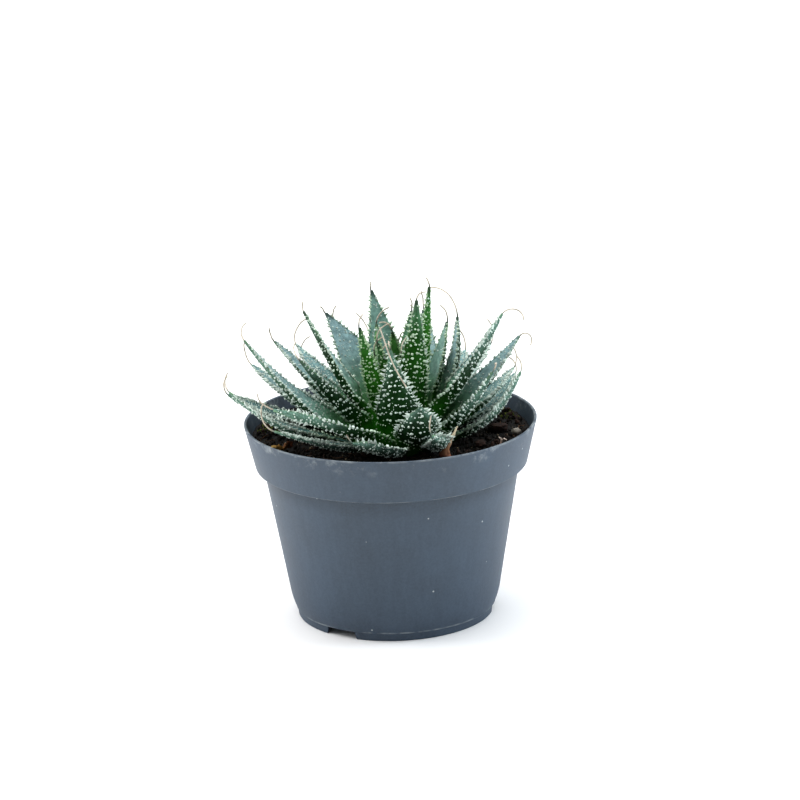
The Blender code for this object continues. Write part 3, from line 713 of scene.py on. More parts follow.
class ALOE_OT_soil(bpy.types.Operator):
    """Fill the pot with peat and scatter crumbs, bark, grit, fibres and moss over it"""
    bl_idname = "aloe.soil"
    bl_label = "Peat"

    def execute(self, context):
        soil = context.scene.aloe_soil
        ground = plain_object("peat_plug", soil_mesh(context.scene.aloe_pot, soil.roughness))
        finish_piece(shaded(ground, peat(soil)), "peat", "soil")
        dice = random.Random(soil.seed)
        lumps = [lump_mesh(f"crumb_{i}", (1.0, 0.8, 0.6), dice, 1, 0.5) for i in range(6)]
        crumbs = shape_collection("crumb_shapes", lumps)
        fibres = shape_collection("fibre_shapes", [fibre_mesh(f"fibre_{i}", dice) for i in range(5)])
        peat_crumb = litter_material("peat_crumb", linear("#2a2018"), linear("#0d0a07"), 0.9)
        bark = litter_material("bark_crumb", soil.bark, linear("#2b1810"), 0.85)
        straw = litter_material("peat_fibre", soil.fibre, linear("#402a1b"), 0.8)
        grit = litter_material("pale_grit", linear("#ac9e82"), linear("#6f644f"), 0.8)
        moss = litter_material("cushion_moss", linear("#6f7a2c"), linear("#2c3a12"), 0.9)
        many = soil.crumb_density
        top = soil_patch(ground.data)
        kinds = [
            ("peat_crumbs", top, crumbs, many, 0.5, 2.6, math.pi, 0.25, 0, peat_crumb, "peat"),
            ("bark_crumbs", top, crumbs, many * 0.05, 0.8, 3.4, math.pi, 0.3, 1, bark, "bark"),
            ("pale_grit", top, crumbs, many * 0.07, 0.5, 1.3, math.pi, 0.8, 2, grit, "pebble"),
            ("peat_fibres", top, fibres, soil.fibre_density, 2.0, 8.0, 0.35, 0.08, 3, straw, "peat"),
        ]
        for number, (middle, radius) in enumerate(MOSS_PATCHES):
            patch = soil_patch(ground.data, middle, radius * MM)
            name = f"moss_{number + 1}"
            kinds.append((name, patch, crumbs, many * 3, 0.4, 1.5, math.pi, 0.3, 20 + number, moss, "peat"))
        tree = scatter_tree()
        for name, patch, shapes, density, low, high, tilt, lift, seed, finish, slot in kinds:
            piece = run_tree(name, patch, tree, {
                "Shapes": shapes, "Density": density, "Smallest": low * MM, "Largest": high * MM,
                "Tilt": tilt, "Lift": lift, "Seed": soil.seed + seed, "Material": finish,
            })
            finish_piece(piece, slot)
        return {"FINISHED"}


def heading(azimuth, lean):
    """Unit direction for a compass angle and an angle above the horizon, in degrees."""
    a = math.radians(azimuth)
    e = math.radians(lean)
    return Vector((math.cos(a) * math.cos(e), math.sin(a) * math.cos(e), math.sin(e)))


Ring = namedtuple("Ring", "share point tangent side inner half channel back")

# Leaves that lean less than this many degrees above the horizon have a narrow, bare foot.
LOW_LEAN = 15


class Blade:
    """Shape of one leaf: places on its upper face, its back, its margins and its dry thread."""

    # Thickness and channel as shares of the width, how the width falls off towards the tip, and
    # how square the back is at the foot and at the tip.
    THICKNESS_SHARE = 0.22
    CHANNEL_SHARE = 0.17
    POINT_POWER = 1.18
    BULGE = 2.6
    KEEL_BULGE = 1.7

    # Where a blade is widest, how much of that width its foot may have, and how steeply it
    # widens: for the lowest leaves, and for the others.
    LOW_FORM = (0.56, 0.3, 1.7)
    FORM = (0.36, 0.9, 1)

    def __init__(self, leaf, lean, look, twist):
        out = heading(leaf.azimuth, lean)
        self.leaf = leaf
        self.look = look
        self.twist = twist
        self.widest = leaf.width * MM
        self.lowest = lean < LOW_LEAN
        self.widest_at, foot_share, self.rise_power = self.LOW_FORM if self.lowest else self.FORM
        self.base = min(look.base_width, foot_share * self.widest)
        self.start = AXIS + CROWN_PLACE + out * CROWN_RADIUS
        self.tip = AXIS + Vector(leaf.tip) * MM
        self.knee = self.start + out * (leaf.reach * (self.tip - self.start).length)
        self.across = heading(leaf.azimuth + 90, 0)
        self.swing = AXIS + CLASP_PLACE + heading(leaf.azimuth, 0) * CLASP_RADIUS - self.start
        steps = [self.middle(i / 20) for i in range(21)]
        self.length = sum((b - a).length for a, b in zip(steps, steps[1:]))

    def middle(self, share):
        """A place on the middle line, which swings at its foot to where the blades clasp."""
        a, b, c = self.start, self.knee, self.tip
        place = a * (1 - share) ** 2 + b * (2 * share * (1 - share)) + c * share ** 2
        return place + self.swing * max(0.0, 1 - share / CLASP_SHARE) ** 2

    def left(self, share):
        """How much of the blade is left past its widest place: 1 there, 0 at the tip."""
        return 1 - ((share - self.widest_at) / (1 - self.widest_at)) ** self.leaf.taper

    def width(self, share):
        """Width of the blade at a share of its length."""
        if share < self.widest_at:
            rise = math.sin(math.pi / 2 * share / self.widest_at)
            return self.base + (self.widest - self.base) * rise ** self.rise_power
        tip = self.look.tip_width
        return tip + (self.widest - tip) * self.left(share) ** self.POINT_POWER

    def thickness(self, share):
        """Thickness at the same share, from the channel to the keel."""
        full = self.THICKNESS_SHARE * self.widest
        if share < self.widest_at:
            return self.look.base_thickness + (full - self.look.base_thickness) * share / self.widest_at
        return self.look.tip_thickness + (full - self.look.tip_thickness) * self.left(share)

    def ring(self, share):
        """Middle, directions and half section of the blade at a share of its length."""
        tangent = (self.middle(min(1.0, share + 0.01)) - self.middle(max(0.0, share - 0.01))).normalized()
        side = (self.across - tangent * self.across.dot(tangent)).normalized()
        roll = math.radians(self.leaf.roll) * min(1.0, share / self.widest_at)
        side.rotate(Matrix.Rotation(self.twist * share * share + roll, 3, tangent))
        width = self.width(share)
        channel = self.CHANNEL_SHARE * width * (1 - share)
        back = channel + self.thickness(share)
        return Ring(share, self.middle(share), tangent, side, tangent.cross(side), width / 2, channel, back)

    def bulge(self, share):
        """How square the back is: rounded low down, keeled towards the tip."""
        return self.BULGE + (self.KEEL_BULGE - self.BULGE) * share

    def place(self, ring, x, upper):
        """A place on a ring, x from -1 at one margin to 1 at the other."""
        if upper:
            depth = ring.channel * (1 - x * x)
        else:
            depth = ring.back * (1 - abs(x) ** self.bulge(ring.share))
        return ring.point + ring.side * (x * ring.half) - ring.inner * depth

    def normal(self, ring, x, upper):
        """Direction square to the face at the same place."""
        if upper:
            return (ring.inner * ring.half - ring.side * (2 * ring.channel * x)).normalized()
        power = self.bulge(ring.share)
        slope = ring.back * power * abs(x) ** (power - 1) * math.copysign(1.0, x)
        return (ring.side * slope - ring.inner * ring.half).normalized()

    def thread(self, steps):
        """Places along the dry tip, from just inside the blade to its end."""
        ring = self.ring(1.0)
        turn = math.radians(self.leaf.side)
        bend = ring.inner * math.cos(turn) + ring.side * math.sin(turn)
        total = math.radians(self.leaf.curl)
        first = math.radians(self.leaf.kink)
        radius = self.leaf.awn * MM / (total - first)
        inside = self.ring(0.955)
        line = [inside.point - inside.inner * (inside.back / 2)]
        for i in range(steps + 1):
            angle = first + (total - first) * i / steps
            wave = 0.25 * MM * math.sin(9 * i / steps) * i / steps
            ahead = math.sin(angle) - math.sin(first)
            aside = math.cos(first) - math.cos(angle)
            place = self.tip + (ring.tangent * ahead + bend * aside) * radius
            line.append(place - ring.inner * (ring.back / 2) * (1 - i / steps) + ring.side * wave)
        return line


UPPER_STEPS = 12
BACK_STEPS = 16
BLADE_RINGS = 56
THREAD_STEPS = 22


class Carrier:
    """Collects the vertices, edges, faces and per-vertex values that the leaf tree reads."""

    VALUES = ("along", "upper", "edge", "youth", "shade", "size")
    DIRECTIONS = ("outward", "sideways")

    def __init__(self, youth, shade):
        self.youth = youth
        self.shade = shade
        self.verts = []
        self.edges = []
        self.faces = []
        self.parts = []
        self.values = {name: [] for name in self.VALUES + self.DIRECTIONS}

    def add(
        self, part, place, along=0.0, upper=0.0, edge=1.0, size=1.0,
        outward=(0, 0, 1), sideways=(1, 0, 0),
    ):
        """Add a vertex with its values, and return its number."""
        row = dict(
            along=along, upper=upper, edge=edge, youth=self.youth, shade=self.shade, size=size,
            outward=outward, sideways=sideways,
        )
        for name, value in row.items():
            self.values[name].append(value)
        self.parts.append(part)
        self.verts.append(place)
        return len(self.verts) - 1

    def mesh(self, name):
        """The carrier as a mesh with an attribute for each value."""
        made = bpy.data.meshes.new(name)
        made.from_pydata(self.verts, self.edges, self.faces)
        made.attributes.new("part", "INT", "POINT").data.foreach_set("value", self.parts)
        for key in self.VALUES:
            made.attributes.new(key, "FLOAT", "POINT").data.foreach_set("value", self.values[key])
        for key in self.DIRECTIONS:
            flat = [c for direction in self.values[key] for c in direction]
            made.attributes.new(key, "FLOAT_VECTOR", "POINT").data.foreach_set("vector", flat)
        return made


def add_skin(carrier, blade):
    """Loft the blade ring by ring, and close its foot and its tip."""
    stations = [(-1 + 2 * i / UPPER_STEPS, True) for i in range(UPPER_STEPS + 1)]
    stations += [(1 - 2 * i / BACK_STEPS, False) for i in range(1, BACK_STEPS)]
    rings = []
    for i in range(BLADE_RINGS + 1):
        ring = blade.ring(i / BLADE_RINGS)
        row = []
        for x, upper in stations:
            on_margin = abs(x) > 0.999
            row.append(carrier.add(
                SKIN, blade.place(ring, x, upper), along=ring.share,
                upper=0.5 if on_margin else float(upper), edge=ring.half * (1 - abs(x)) / MM,
            ))
        rings.append(row)
    carrier.faces += [*quads(rings), rings[0], rings[-1][::-1]]


# Length of the dark spike that a blade ends in, before its dry thread, in mm, and the awn
# length from which a thread is a stout one.
SPIKE_LENGTH = 4.0
STOUT_AWN = 20

# The horny green-black of the spikes.
HORN = "#2c382d"

# Distances in mm: between rows of tubercles at a blade's foot, between those of a row, between
# teeth on the oldest and the newest leaves, and between granules on the oldest.
BUMP_PITCH = 4.3
BUMP_SPACING = 1.75
TOOTH_PITCH = 1.35
GRANULE_SPACING = 0.95

# How deep a tooth is rooted, the chance that a tubercle has a second one beside it, the share
# of tubercles that are missing, and the seed of all this.
TOOTH_ROOT = 0.2 * MM
PAIR_CHANCE = 0.3
MISSING_BUMPS = 0.15
LEAF_SEED = 3


def add_thread(carrier, blade):
    """The line of the horny spike and the dry thread; its edge value is the run in mm.

    A stout thread has a longer spike, with teeth on both sides.
    """
    line = blade.thread(THREAD_STEPS)
    is_stout = blade.leaf.awn > STOUT_AWN
    spike, slimness, swell = (2.4 * SPIKE_LENGTH, 0.75, 2.3) if is_stout else (SPIKE_LENGTH, 1.0, 1.35)
    side = blade.ring(1.0).side
    run = 0.0
    for i, place in enumerate(line):
        if i:
            run += (place - line[i - 1]).length / MM
        end = i / (len(line) - 1)
        left = max(0.0, 1 - run / spike)
        size = (0.70 - 0.3 * end) * slimness + swell * left
        number = carrier.add(THREAD, place, along=end, edge=run * SPIKE_LENGTH / spike, size=size)
        if i == 0:
            continue
        carrier.edges.append((number - 1, number))
        ahead = (place - line[i - 1]).normalized()
        for x in (-1, 1) if is_stout and left else ():
            carrier.add(
                TOOTH, place + side * (x * TOOTH_ROOT), along=0.9, size=0.45 + 0.4 * left,
                outward=(side * x + ahead).normalized(), sideways=(0, 1, 0),
            )


def add_bumps(carrier, blade, dice):
    """Tubercles in arched, broken rows across the back, some of them in pairs."""
    old = 1 - carrier.youth
    close = 1 - 0.8 * max(0.0, carrier.youth - 0.3)
    run = (0.24 if blade.lowest else 0.09) * blade.length
    while run < 0.965 * blade.length:
        share = run / blade.length
        pitch = (BUMP_PITCH - 2.1 * share - 1.2 * old * share) * close * MM
        count = max(1, round(blade.width(share) / (BUMP_SPACING * (0.4 + 0.6 * close) * MM)))
        size = 0.55 + 0.45 * min(1.0, share / 0.3) if share < 0.8 else 0.85
        tilt = dice.uniform(-0.5, 0.5) * MM
        for k in range(count):
            x = 0.0 if count == 1 else -0.86 + 1.72 * k / (count - 1)
            x += dice.uniform(-0.6, 0.6) / count
            arch = (0.28 * pitch + 0.5 * MM) * (1 - 2 * x * x)
            arched = run + arch + tilt * x + dice.uniform(-0.55, 0.55) * MM
            ring = blade.ring(min(0.985, max(0.02, arched / blade.length)))
            pair = 2 if dice.random() < PAIR_CHANCE else 1
            for member in range(pair):
                at = max(-0.93, min(0.93, x + member * 1.6 * MM / blade.width(share)))
                outward = blade.normal(ring, at, False) + ring.tangent * 0.35
                carrier.add(
                    BUMP, blade.place(ring, at, False), along=ring.share,
                    size=size * dice.uniform(0.6, 1.25) * (0.75 if member else 1.0),
                    outward=outward.normalized(), sideways=ring.side,
                )
        run += pitch


def add_granules(carrier, blade, dice):
    """Small pale granules on both faces, closest on the oldest leaves and towards the tip."""
    for upper, growth in ((True, 1.6), (False, 5.0)):
        spacing = (GRANULE_SPACING + growth * carrier.youth) * MM
        swollen = 1 + 1.9 * min(0.5, carrier.youth) if upper else 1.0
        for _ in range(round(0.7 * blade.length * blade.widest / spacing ** 2)):
            share = dice.uniform(0.12, 0.97)
            if dice.random() * blade.widest > blade.width(share) * (0.25 + 0.75 * share):
                continue
            x = dice.uniform(-0.95, 0.95)
            ring = blade.ring(share)
            outward = blade.normal(ring, x, upper)
            carrier.add(
                GRANULE, blade.place(ring, x, upper) - outward * ((swollen - 1) * 0.5 * MM), along=share,
                upper=float(upper), size=dice.uniform(0.5, 1.15) * swollen, outward=outward,
                sideways=ring.side,
            )


def add_teeth(carrier, blade, dice):
    """Soft teeth along both margins, leaning towards the tip, closer on old and on new leaves."""
    pitch = (TOOTH_PITCH + 2.6 * carrier.youth * (1 - carrier.youth)) * MM
    for x in (-1, 1):
        run = (0.2 if blade.lowest else 0.05) * blade.length
        while run < 0.975 * blade.length:
            share = run / blade.length
            ring = blade.ring(share)
            grown = min(1.0, 0.4 + share / 0.35) * (1.0 if share < 0.8 else 1.15 - 2.5 * (share - 0.8))
            lean = ring.tangent * dice.uniform(0.2, 0.8)
            lift = ring.inner * dice.uniform(-0.35, 0.5)
            carrier.add(
                TOOTH, blade.place(ring, x, True) - ring.side * (x * TOOTH_ROOT), along=share, upper=0.5,
                size=grown * dice.uniform(0.6, 1.4) * (1.2 - 0.35 * carrier.youth),
                outward=(ring.side * x + lean + lift).normalized(), sideways=ring.tangent,
            )
            run += pitch * dice.uniform(0.55, 1.45)


def leaf_carrier(name, leaf, lean, youth, look, dice):
    """Blade, thread line and the roots of each tubercle, granule and tooth of a leaf, as one mesh."""
    blade = Blade(leaf, lean, look, math.radians(leaf.azimuth * 37 % 29 - 14))
    carrier = Carrier(max(0.0, youth - leaf.frost), dice.random())
    add_skin(carrier, blade)
    add_thread(carrier, blade)
    add_bumps(carrier, blade, dice)
    add_granules(carrier, blade, dice)
    add_teeth(carrier, blade, dice)
    return carrier.mesh(name)


# Inputs of the leaf tree, and the setting that each is filled from.
LEAF_INPUTS = {
    "Tubercle Radius": "bump_radius", "Tubercle Height": "bump_height", "Granule Radius": "granule_radius",
    "Tooth Length": "tooth_length", "Tooth Radius": "tooth_radius", "Thread Radius": "thread_radius",
}


def leaf_tree():
    """Finishes a leaf: skin on the blade, a tube along the thread, a bump or tooth on each root."""
    tree, node, given = new_tree("aloe_leaf", (
        *[(label, "Float") for label in LEAF_INPUTS], ("Gaps", "Float"), ("Seed", "Int"),
        ("Skin", "Material"), ("Pearl", "Material"), ("Straw", "Material"),
    ))
    whole, seed, bump_radius, tooth_radius = (
        given[label] for label in ("Geometry", "Seed", "Tubercle Radius", "Tooth Radius")
    )
    attribute = "GeometryNodeInputNamedAttribute"
    part = node(attribute, "part", data_type="INT")
    size = node(attribute, "size")
    outward, sideways = (node(attribute, name, data_type="FLOAT_VECTOR") for name in Carrier.DIRECTIONS)
    is_skin, is_thread, is_bump, is_granule, is_tooth = (
        node("FunctionNodeCompare", part, kind, data_type="INT", operation="EQUAL")
        for kind in (SKIN, THREAD, BUMP, GRANULE, TOOTH)
    )
    blade = node("GeometryNodeSeparateGeometry", whole, is_skin)
    line = node("GeometryNodeMeshToCurve", node("GeometryNodeSeparateGeometry", whole, is_thread))
    tapered = node("GeometryNodeSetCurveRadius", line, Radius=size)
    circle = node("GeometryNodeCurvePrimitiveCircle", 6, given["Thread Radius"])
    thread = node("GeometryNodeCurveToMesh", tapered, circle, Fill_Caps=True)
    kept = node("FunctionNodeRandomValue", given["Gaps"], Seed=seed, data_type="BOOLEAN")
    bump_roots = node("FunctionNodeBooleanMath", is_bump, kept, operation="NIMPLY")
    ball = node("GeometryNodeMeshUVSphere", 7, 4, 1.0)
    bump_size = node("CombineXYZ", bump_radius, bump_radius, given["Tubercle Height"])
    crystal = node("GeometryNodeMeshIcoSphere", given["Granule Radius"], 1)
    cone = node(
        "GeometryNodeMeshCone", Vertices=6, Side_Segments=2, Radius_Top=0.08, Radius_Bottom=0.95, Depth=1.0
    )
    tooth_size = node("CombineXYZ", tooth_radius, tooth_radius, given["Tooth Length"])
    upright = node("FunctionNodeAlignRotationToVector", Vector=outward, axis="Z")
    turned = node(
        "FunctionNodeAlignRotationToVector", upright, Vector=sideways, axis="X", pivot_axis="Z"
    )
    longer = node(
        "FunctionNodeRandomValue", (0.85, 0.85, 0.8), (1.25, 1.1, 1.2), Seed=seed, data_type="FLOAT_VECTOR"
    )
    stretch = node("VectorMath", longer, size, operation="SCALE")
    branches = []
    for selection, solid, shape, scale in (
        (bump_roots, ball, bump_size, stretch), (is_granule, crystal, (1.0, 1.0, 1.5), size),
        (is_tooth, cone, tooth_size, size),
    ):
        shaped = node("GeometryNodeTransform", solid, Scale=shape)
        placed = node(
            "GeometryNodeInstanceOnPoints", whole, selection, shaped, Rotation=turned, Scale=scale
        )
        branches.append((placed, "Pearl"))
    finished = []
    for geometry, finish in (*branches, (blade, "Skin"), (thread, "Straw")):
        real = node("GeometryNodeRealizeInstances", node("GeometryNodeSetShadeSmooth", geometry))
        finished.append(node("GeometryNodeSetMaterial", real, Material=given[finish]))
    node("NodeGroupOutput", node("GeometryNodeJoinGeometry", finished))
    return tree


def leaf_skin(look):
    """Waxy succulent skin: dark and slightly glossy on the back, blue-grey and mealy above.

    The foot of a blade and the newest leaves are fresh green, but the foot of the lowest leaves
    stays dark, painted shade. Older leaves turn slate sooner and wear pale grains of meal, thickest
    towards the tip; on the back both keep to the margins, painted light, and the middle stays dark
    green, painted shade.
    """
    made, shader, node = new_material("waxy_leaf_skin")
    along, upper, edge, youth, shade = (
        node("Attribute", attribute_name=name).node.outputs["Fac"]
        for name in ("along", "upper", "edge", "youth", "shade")
    )
    place = node("TexCoord").node.outputs["Object"]
    # Blotches of 3 mm, and meal in grains that are really 0.3 mm, drawn at 0.9 to 1.1 mm to show.
    mottle = node("TexNoise", place, Scale=per(3.03), Detail=4.0, Roughness=0.6)
    meal = node("TexNoise", place, Scale=per(1.111), Detail=5.0, Roughness=0.7)
    cells = node("TexVoronoi", place, Scale=1 / (0.85 * MM))
    slate_from = node("MapRange", youth, 0, 0.3, 0.26, 0.68)
    past_slate = node("Math", along, slate_from, operation="SUBTRACT")
    to_tip = node("MapRange", past_slate, 0, 0.34, interpolation_type="SMOOTHSTEP")
    # Painted light and shade: on the back, slate and meal keep near the margins as painted light, and the
    # middle stays dark green as painted shade on the blade's underside.
    lit_margins = node("MapRange", edge, 0.9, 3.2, 1.0, 0.25)
    slate = node("Math", to_tip, lit_margins, operation="MULTIPLY")
    back = node("Mix", slate, look.dark_green, look.slate_green, data_type="RGBA")
    matured = node("MapRange", youth, 0.02, 0.4)
    face = node("Mix", matured, look.old_face, look.face_green, data_type="RGBA")
    on_top = node("MapRange", upper, 0.4, 0.6)
    two_faced = node("Mix", on_top, back, face, data_type="RGBA")
    foot_end = node("MapRange", on_top, 0, 1, 0.42, 0.74)
    # Painted shade: the lowest leaves keep little fresh green at their foot, which lies in shade under the
    # rosette.
    foot_green_shaded_low = node("MapRange", youth, 0, 0.15, 0.15, 0.9)
    from_foot = node("MapRange", along, 0.02, foot_end, foot_green_shaded_low, 0, interpolation_type="SMOOTHSTEP")
    young = node("MapRange", youth, 0.45, 0.95, 0, 0.9)
    freshness = node("Math", from_foot, young, operation="MAXIMUM")
    newest = node("MapRange", youth, 0.55, 0.95, 0, 0.45)
    lively = node("Math", on_top, newest, operation="MAXIMUM")
    green = node("Mix", lively, linear("#2d7313"), look.fresh_green, data_type="RGBA")
    fresh = node("Mix", freshness, two_faced, green, data_type="RGBA")
    grains = node("MapRange", cells, 0.42, 0.22)
    mealy = node("MapRange", meal, 0.35, 0.62, 0, 0.6)
    grainy = node("Math", grains, mealy, operation="MAXIMUM")
    film = node("MapRange", along, 0.3, 0.85, interpolation_type="SMOOTHSTEP")
    veil = node("Math", on_top, lit_margins, operation="MAXIMUM")
    amount = node("MapRange", youth, 0, 0.4, 0.75, 0.05)
    for factor in (film, veil, grainy):
        amount = node("Math", amount, factor, operation="MULTIPLY")
    dusted = node("Mix", amount, fresh, look.bloom, data_type="RGBA")
    at_margin = node("MapRange", edge, 0.1, 0.5, 0.5, 0.0)
    lined = node("Mix", at_margin, dusted, linear("#7d9c72"), data_type="RGBA")
    grown = node("MapRange", youth, 0.15, 0.4, 0, 0.85)
    horny = node("MapRange", along, 0.9, 0.985)
    spike = node("Math", grown, horny, operation="MULTIPLY")
    tipped = node("Mix", spike, lined, linear(HORN), data_type="RGBA")
    blotches = node("MapRange", mottle, 0.3, 0.7, 0.68, 1.3)
    each_leaf = node("MapRange", shade, 0, 1, 0.85, 1.15)
    tone = node("Math", blotches, each_leaf, operation="MULTIPLY")
    color = node("VectorMath", tipped, tone, operation="SCALE")
    rough = node("MapRange", amount, 0, 1, 0.42, 0.8)
    relief = node("Math", mottle, 1.5, grainy, operation="MULTIPLY_ADD")
    bump = node("Bump", Height=relief, Strength=0.4, Distance=0.25 * MM)
    fill(shader, Base_Color=color, Roughness=rough, Normal=bump, IOR=1.45, Specular_IOR_Level=0.1)
    return made


def pearly(look):
    """Horny tubercles, granules and teeth: milky and a little glossy, leaf green on the newest leaves."""
    made, shader, node = new_material("pearly_tubercle")
    youth, along, upper = (
        node("Attribute", attribute_name=name).node.outputs["Fac"] for name in ("youth", "along", "upper")
    )
    low = node("MapRange", along, 0.05, 0.45, 0.7, 0.0)
    young = node("MapRange", youth, 0.35, 0.85, 0, 0.75)
    greener = node("Math", low, young, operation="MAXIMUM")
    color = node("Mix", greener, look.pearl, linear("#8fb96c"), data_type="RGBA")
    on_face = node("MapRange", upper, 0.6, 0.9)
    grown = node("MapRange", youth, 0.1, 0.35, 0, 0.85)
    veiled = node("Math", on_face, grown, operation="MULTIPLY")
    color = node("Mix", veiled, color, linear("#d2e2dc"), data_type="RGBA")
    place = node("TexCoord").node.outputs["Object"]
    # Each tubercle, 1 mm wide, has a shade of its own out of a pattern of 2.4 mm.
    unlike = node("TexNoise", place, Scale=per(2.38), Detail=1.0)
    tone = node("MapRange", unlike, 0.35, 0.65, 0.6, 1.0)
    fill(shader, Base_Color=node("VectorMath", color, tone, operation="SCALE"), Roughness=0.5)
    return made


def dry_thread(look):
    """The dead tip of a leaf: a horny spike, frosty on old leaves, then a thread bleached like straw."""
    made, shader, node = new_material("dry_leaf_thread")
    run, youth = (
        node("Attribute", attribute_name=name).node.outputs["Fac"] for name in ("edge", "youth")
    )
    horny = node("MapRange", youth, 0.02, 0.25)
    spike = node("Mix", horny, linear("#6d8478"), linear(HORN), data_type="RGBA")
    bleached = node(
        "MapRange", run, 0.6 * SPIKE_LENGTH, 1.3 * SPIKE_LENGTH, interpolation_type="SMOOTHSTEP"
    )
    color = node("Mix", bleached, spike, look.straw, data_type="RGBA")
    place = node("TexCoord").node.outputs["Object"]
    weather = node("TexNoise", place, Scale=per(3.33), Detail=2.0)
    tone = node("MapRange", weather, 0.35, 0.65, 0.72, 1.1)
    fill(shader, Base_Color=node("VectorMath", color, tone, operation="SCALE"), Roughness=0.6)
    return made


class ALOE_OT_leaves(bpy.types.Operator):
    """Grow every leaf of the rosette, each in the place of its solid"""
    bl_idname = "aloe.leaves"
    bl_label = "Leaves"

    def execute(self, context):
        look = context.scene.aloe_leaf
        values = {label: getattr(look, name) for label, name in LEAF_INPUTS.items()}
        values |= {"Skin": leaf_skin(look), "Pearl": pearly(look), "Straw": dry_thread(look)}
        values["Gaps"] = MISSING_BUMPS
        tree = leaf_tree()
        dice = random.Random(LEAF_SEED)
        seed = 0
        for whorl, lean, youth, leaves in WHORLS:
            for number, leaf in enumerate(leaves, 1):
                seed += 1
                name = f"{whorl}_leaf_{number}"
                carrier = leaf_carrier(name, leaf, lean, youth, look, dice)
                piece = run_tree(name, carrier, tree, {**values, "Seed": seed})
                finish_piece(piece, "leaf", *([] if whorl == "young" else [f"leaf_{whorl}_{number}"]))
        return {"FINISHED"}


class ALOE_OT_crown(bpy.types.Operator):
    """Round off the short stem that carries the leaves"""
    bl_idname = "aloe.crown"
    bl_label = "Crown"

    def execute(self, context):
        bm = bmesh.new()
        bmesh.ops.create_uvsphere(bm, u_segments=64, v_segments=40, radius=CROWN_RADIUS)
        for vert in bm.verts:
            scales = 0.4 * MM * math.sin(7 * math.atan2(vert.co.y, vert.co.x) + 500 * vert.co.z)
            vert.co += vert.co.normalized() * scales
            vert.co += AXIS + CROWN_PLACE
        crown = plain_object("leaf_base_crown", mesh_from(bm, "leaf_base_crown"))
        shaded(crown, litter_material("pale_leaf_base", linear("#7f9a4a"), linear("#45651f"), 0.6))
        finish_piece(crown, "crown", "crown")
        return {"FINISHED"}


def between(points, share):
    """A place on the smooth line through some points, at a share of the way."""
    count = len(points) - 1
    i = min(count - 1, int(share * count))
    t = share * count - i
    before, start, end, after = (
        Vector(points[min(count, max(0, i + k))]) for k in (-1, 0, 1, 2)
    )
    return 0.5 * (
        2 * start + (end - before) * t + (2 * before - 5 * start + 4 * end - after) * t ** 2
        + (3 * start - before - 3 * end + after) * t ** 3
    )


def papery_strip(name, route, widths, fold, twist, crumple):
    """A dry, folded strip of leaf along a route in mm from the pot's axis.

    Its width runs through the widths in mm, it is folded by an angle about its middle line,
    it twists by another on its way, and it is crumpled by so many mm.
    """
    steps, across = 36, 12
    bm = bmesh.new()
    along = bm.verts.layers.float.new("along")
    rows = []
    for i in range(steps + 1):
        share = i / steps
        middle = AXIS + between(route, share) * MM
        ahead, behind = (between(route, place) for place in (min(1, share + 0.03), max(0, share - 0.03)))
        forward = (ahead - behind).normalized()
        side = forward.cross(Vector((0.2, -1, 0.1))).normalized()
        side.rotate(Matrix.Rotation(math.radians(twist) * share, 3, forward))
        over = forward.cross(side)
        half = between([(w, 0, 0) for w in widths], share).x / 2 * MM
        row = []
        for k in range(across + 1):
            x = -1 + 2 * k / across
            angle = math.radians(fold) * x
            rumple = crumple * MM * noise.fractal(Vector((2.4 * x, 7 * share, twist)), 0.6, 2.0, 3)
            folded = side * math.sin(angle) + over * (1 - math.cos(angle))
            place = middle + folded * half / math.radians(fold) * 1.6
            vert = bm.verts.new(place + over * rumple)
            vert[along] = share
            row.append(vert)
        rows.append(row)
    for low, high in zip(rows, rows[1:]):
        for k in range(across):
            bm.faces.new((low[k], low[k + 1], high[k + 1], high[k]))
    strip = plain_object(name, mesh_from(bm, name, closed=False))
    shell = strip.modifiers.new("thickness", "SOLIDIFY")
    shell.thickness = 0.22 * MM
    shell.offset = 0
    return bake_modifiers(strip)


def papery_leaf(name, foot, middle, end):
    """A dead, dry leaf base: papery and dull, with fine lengthwise veins, paler towards its end."""
    made, shader, node = new_material(name)
    along = node("Attribute", attribute_name="along").node.outputs["Fac"]
    place = node("TexCoord").node.outputs["Object"]
    blotches = node("TexNoise", place, Scale=per(2.222), Detail=4.0)
    ragged = node("Math", blotches, 0.5, along, operation="MULTIPLY_ADD")
    low = node("MapRange", ragged, 0.3, 0.6)
    high = node("MapRange", ragged, 0.65, 1.0)
    lower = node("Mix", low, foot, middle, data_type="RGBA")
    color = node("Mix", high, lower, end, data_type="RGBA")
    # Veins 0.4 mm apart, drawn out to ten times that.
    drawn = node("Mapping", place, Scale=(per(0.3846), per(0.3846), per(3.85)))
    veins = node("TexNoise", drawn, Scale=1.0, Detail=2.0)
    bump = node("Bump", Height=veins, Strength=0.5, Distance=0.15 * MM)
    fill(shader, Base_Color=color, Roughness=0.7, Normal=bump)
    return made


CHIP_SEED = 23

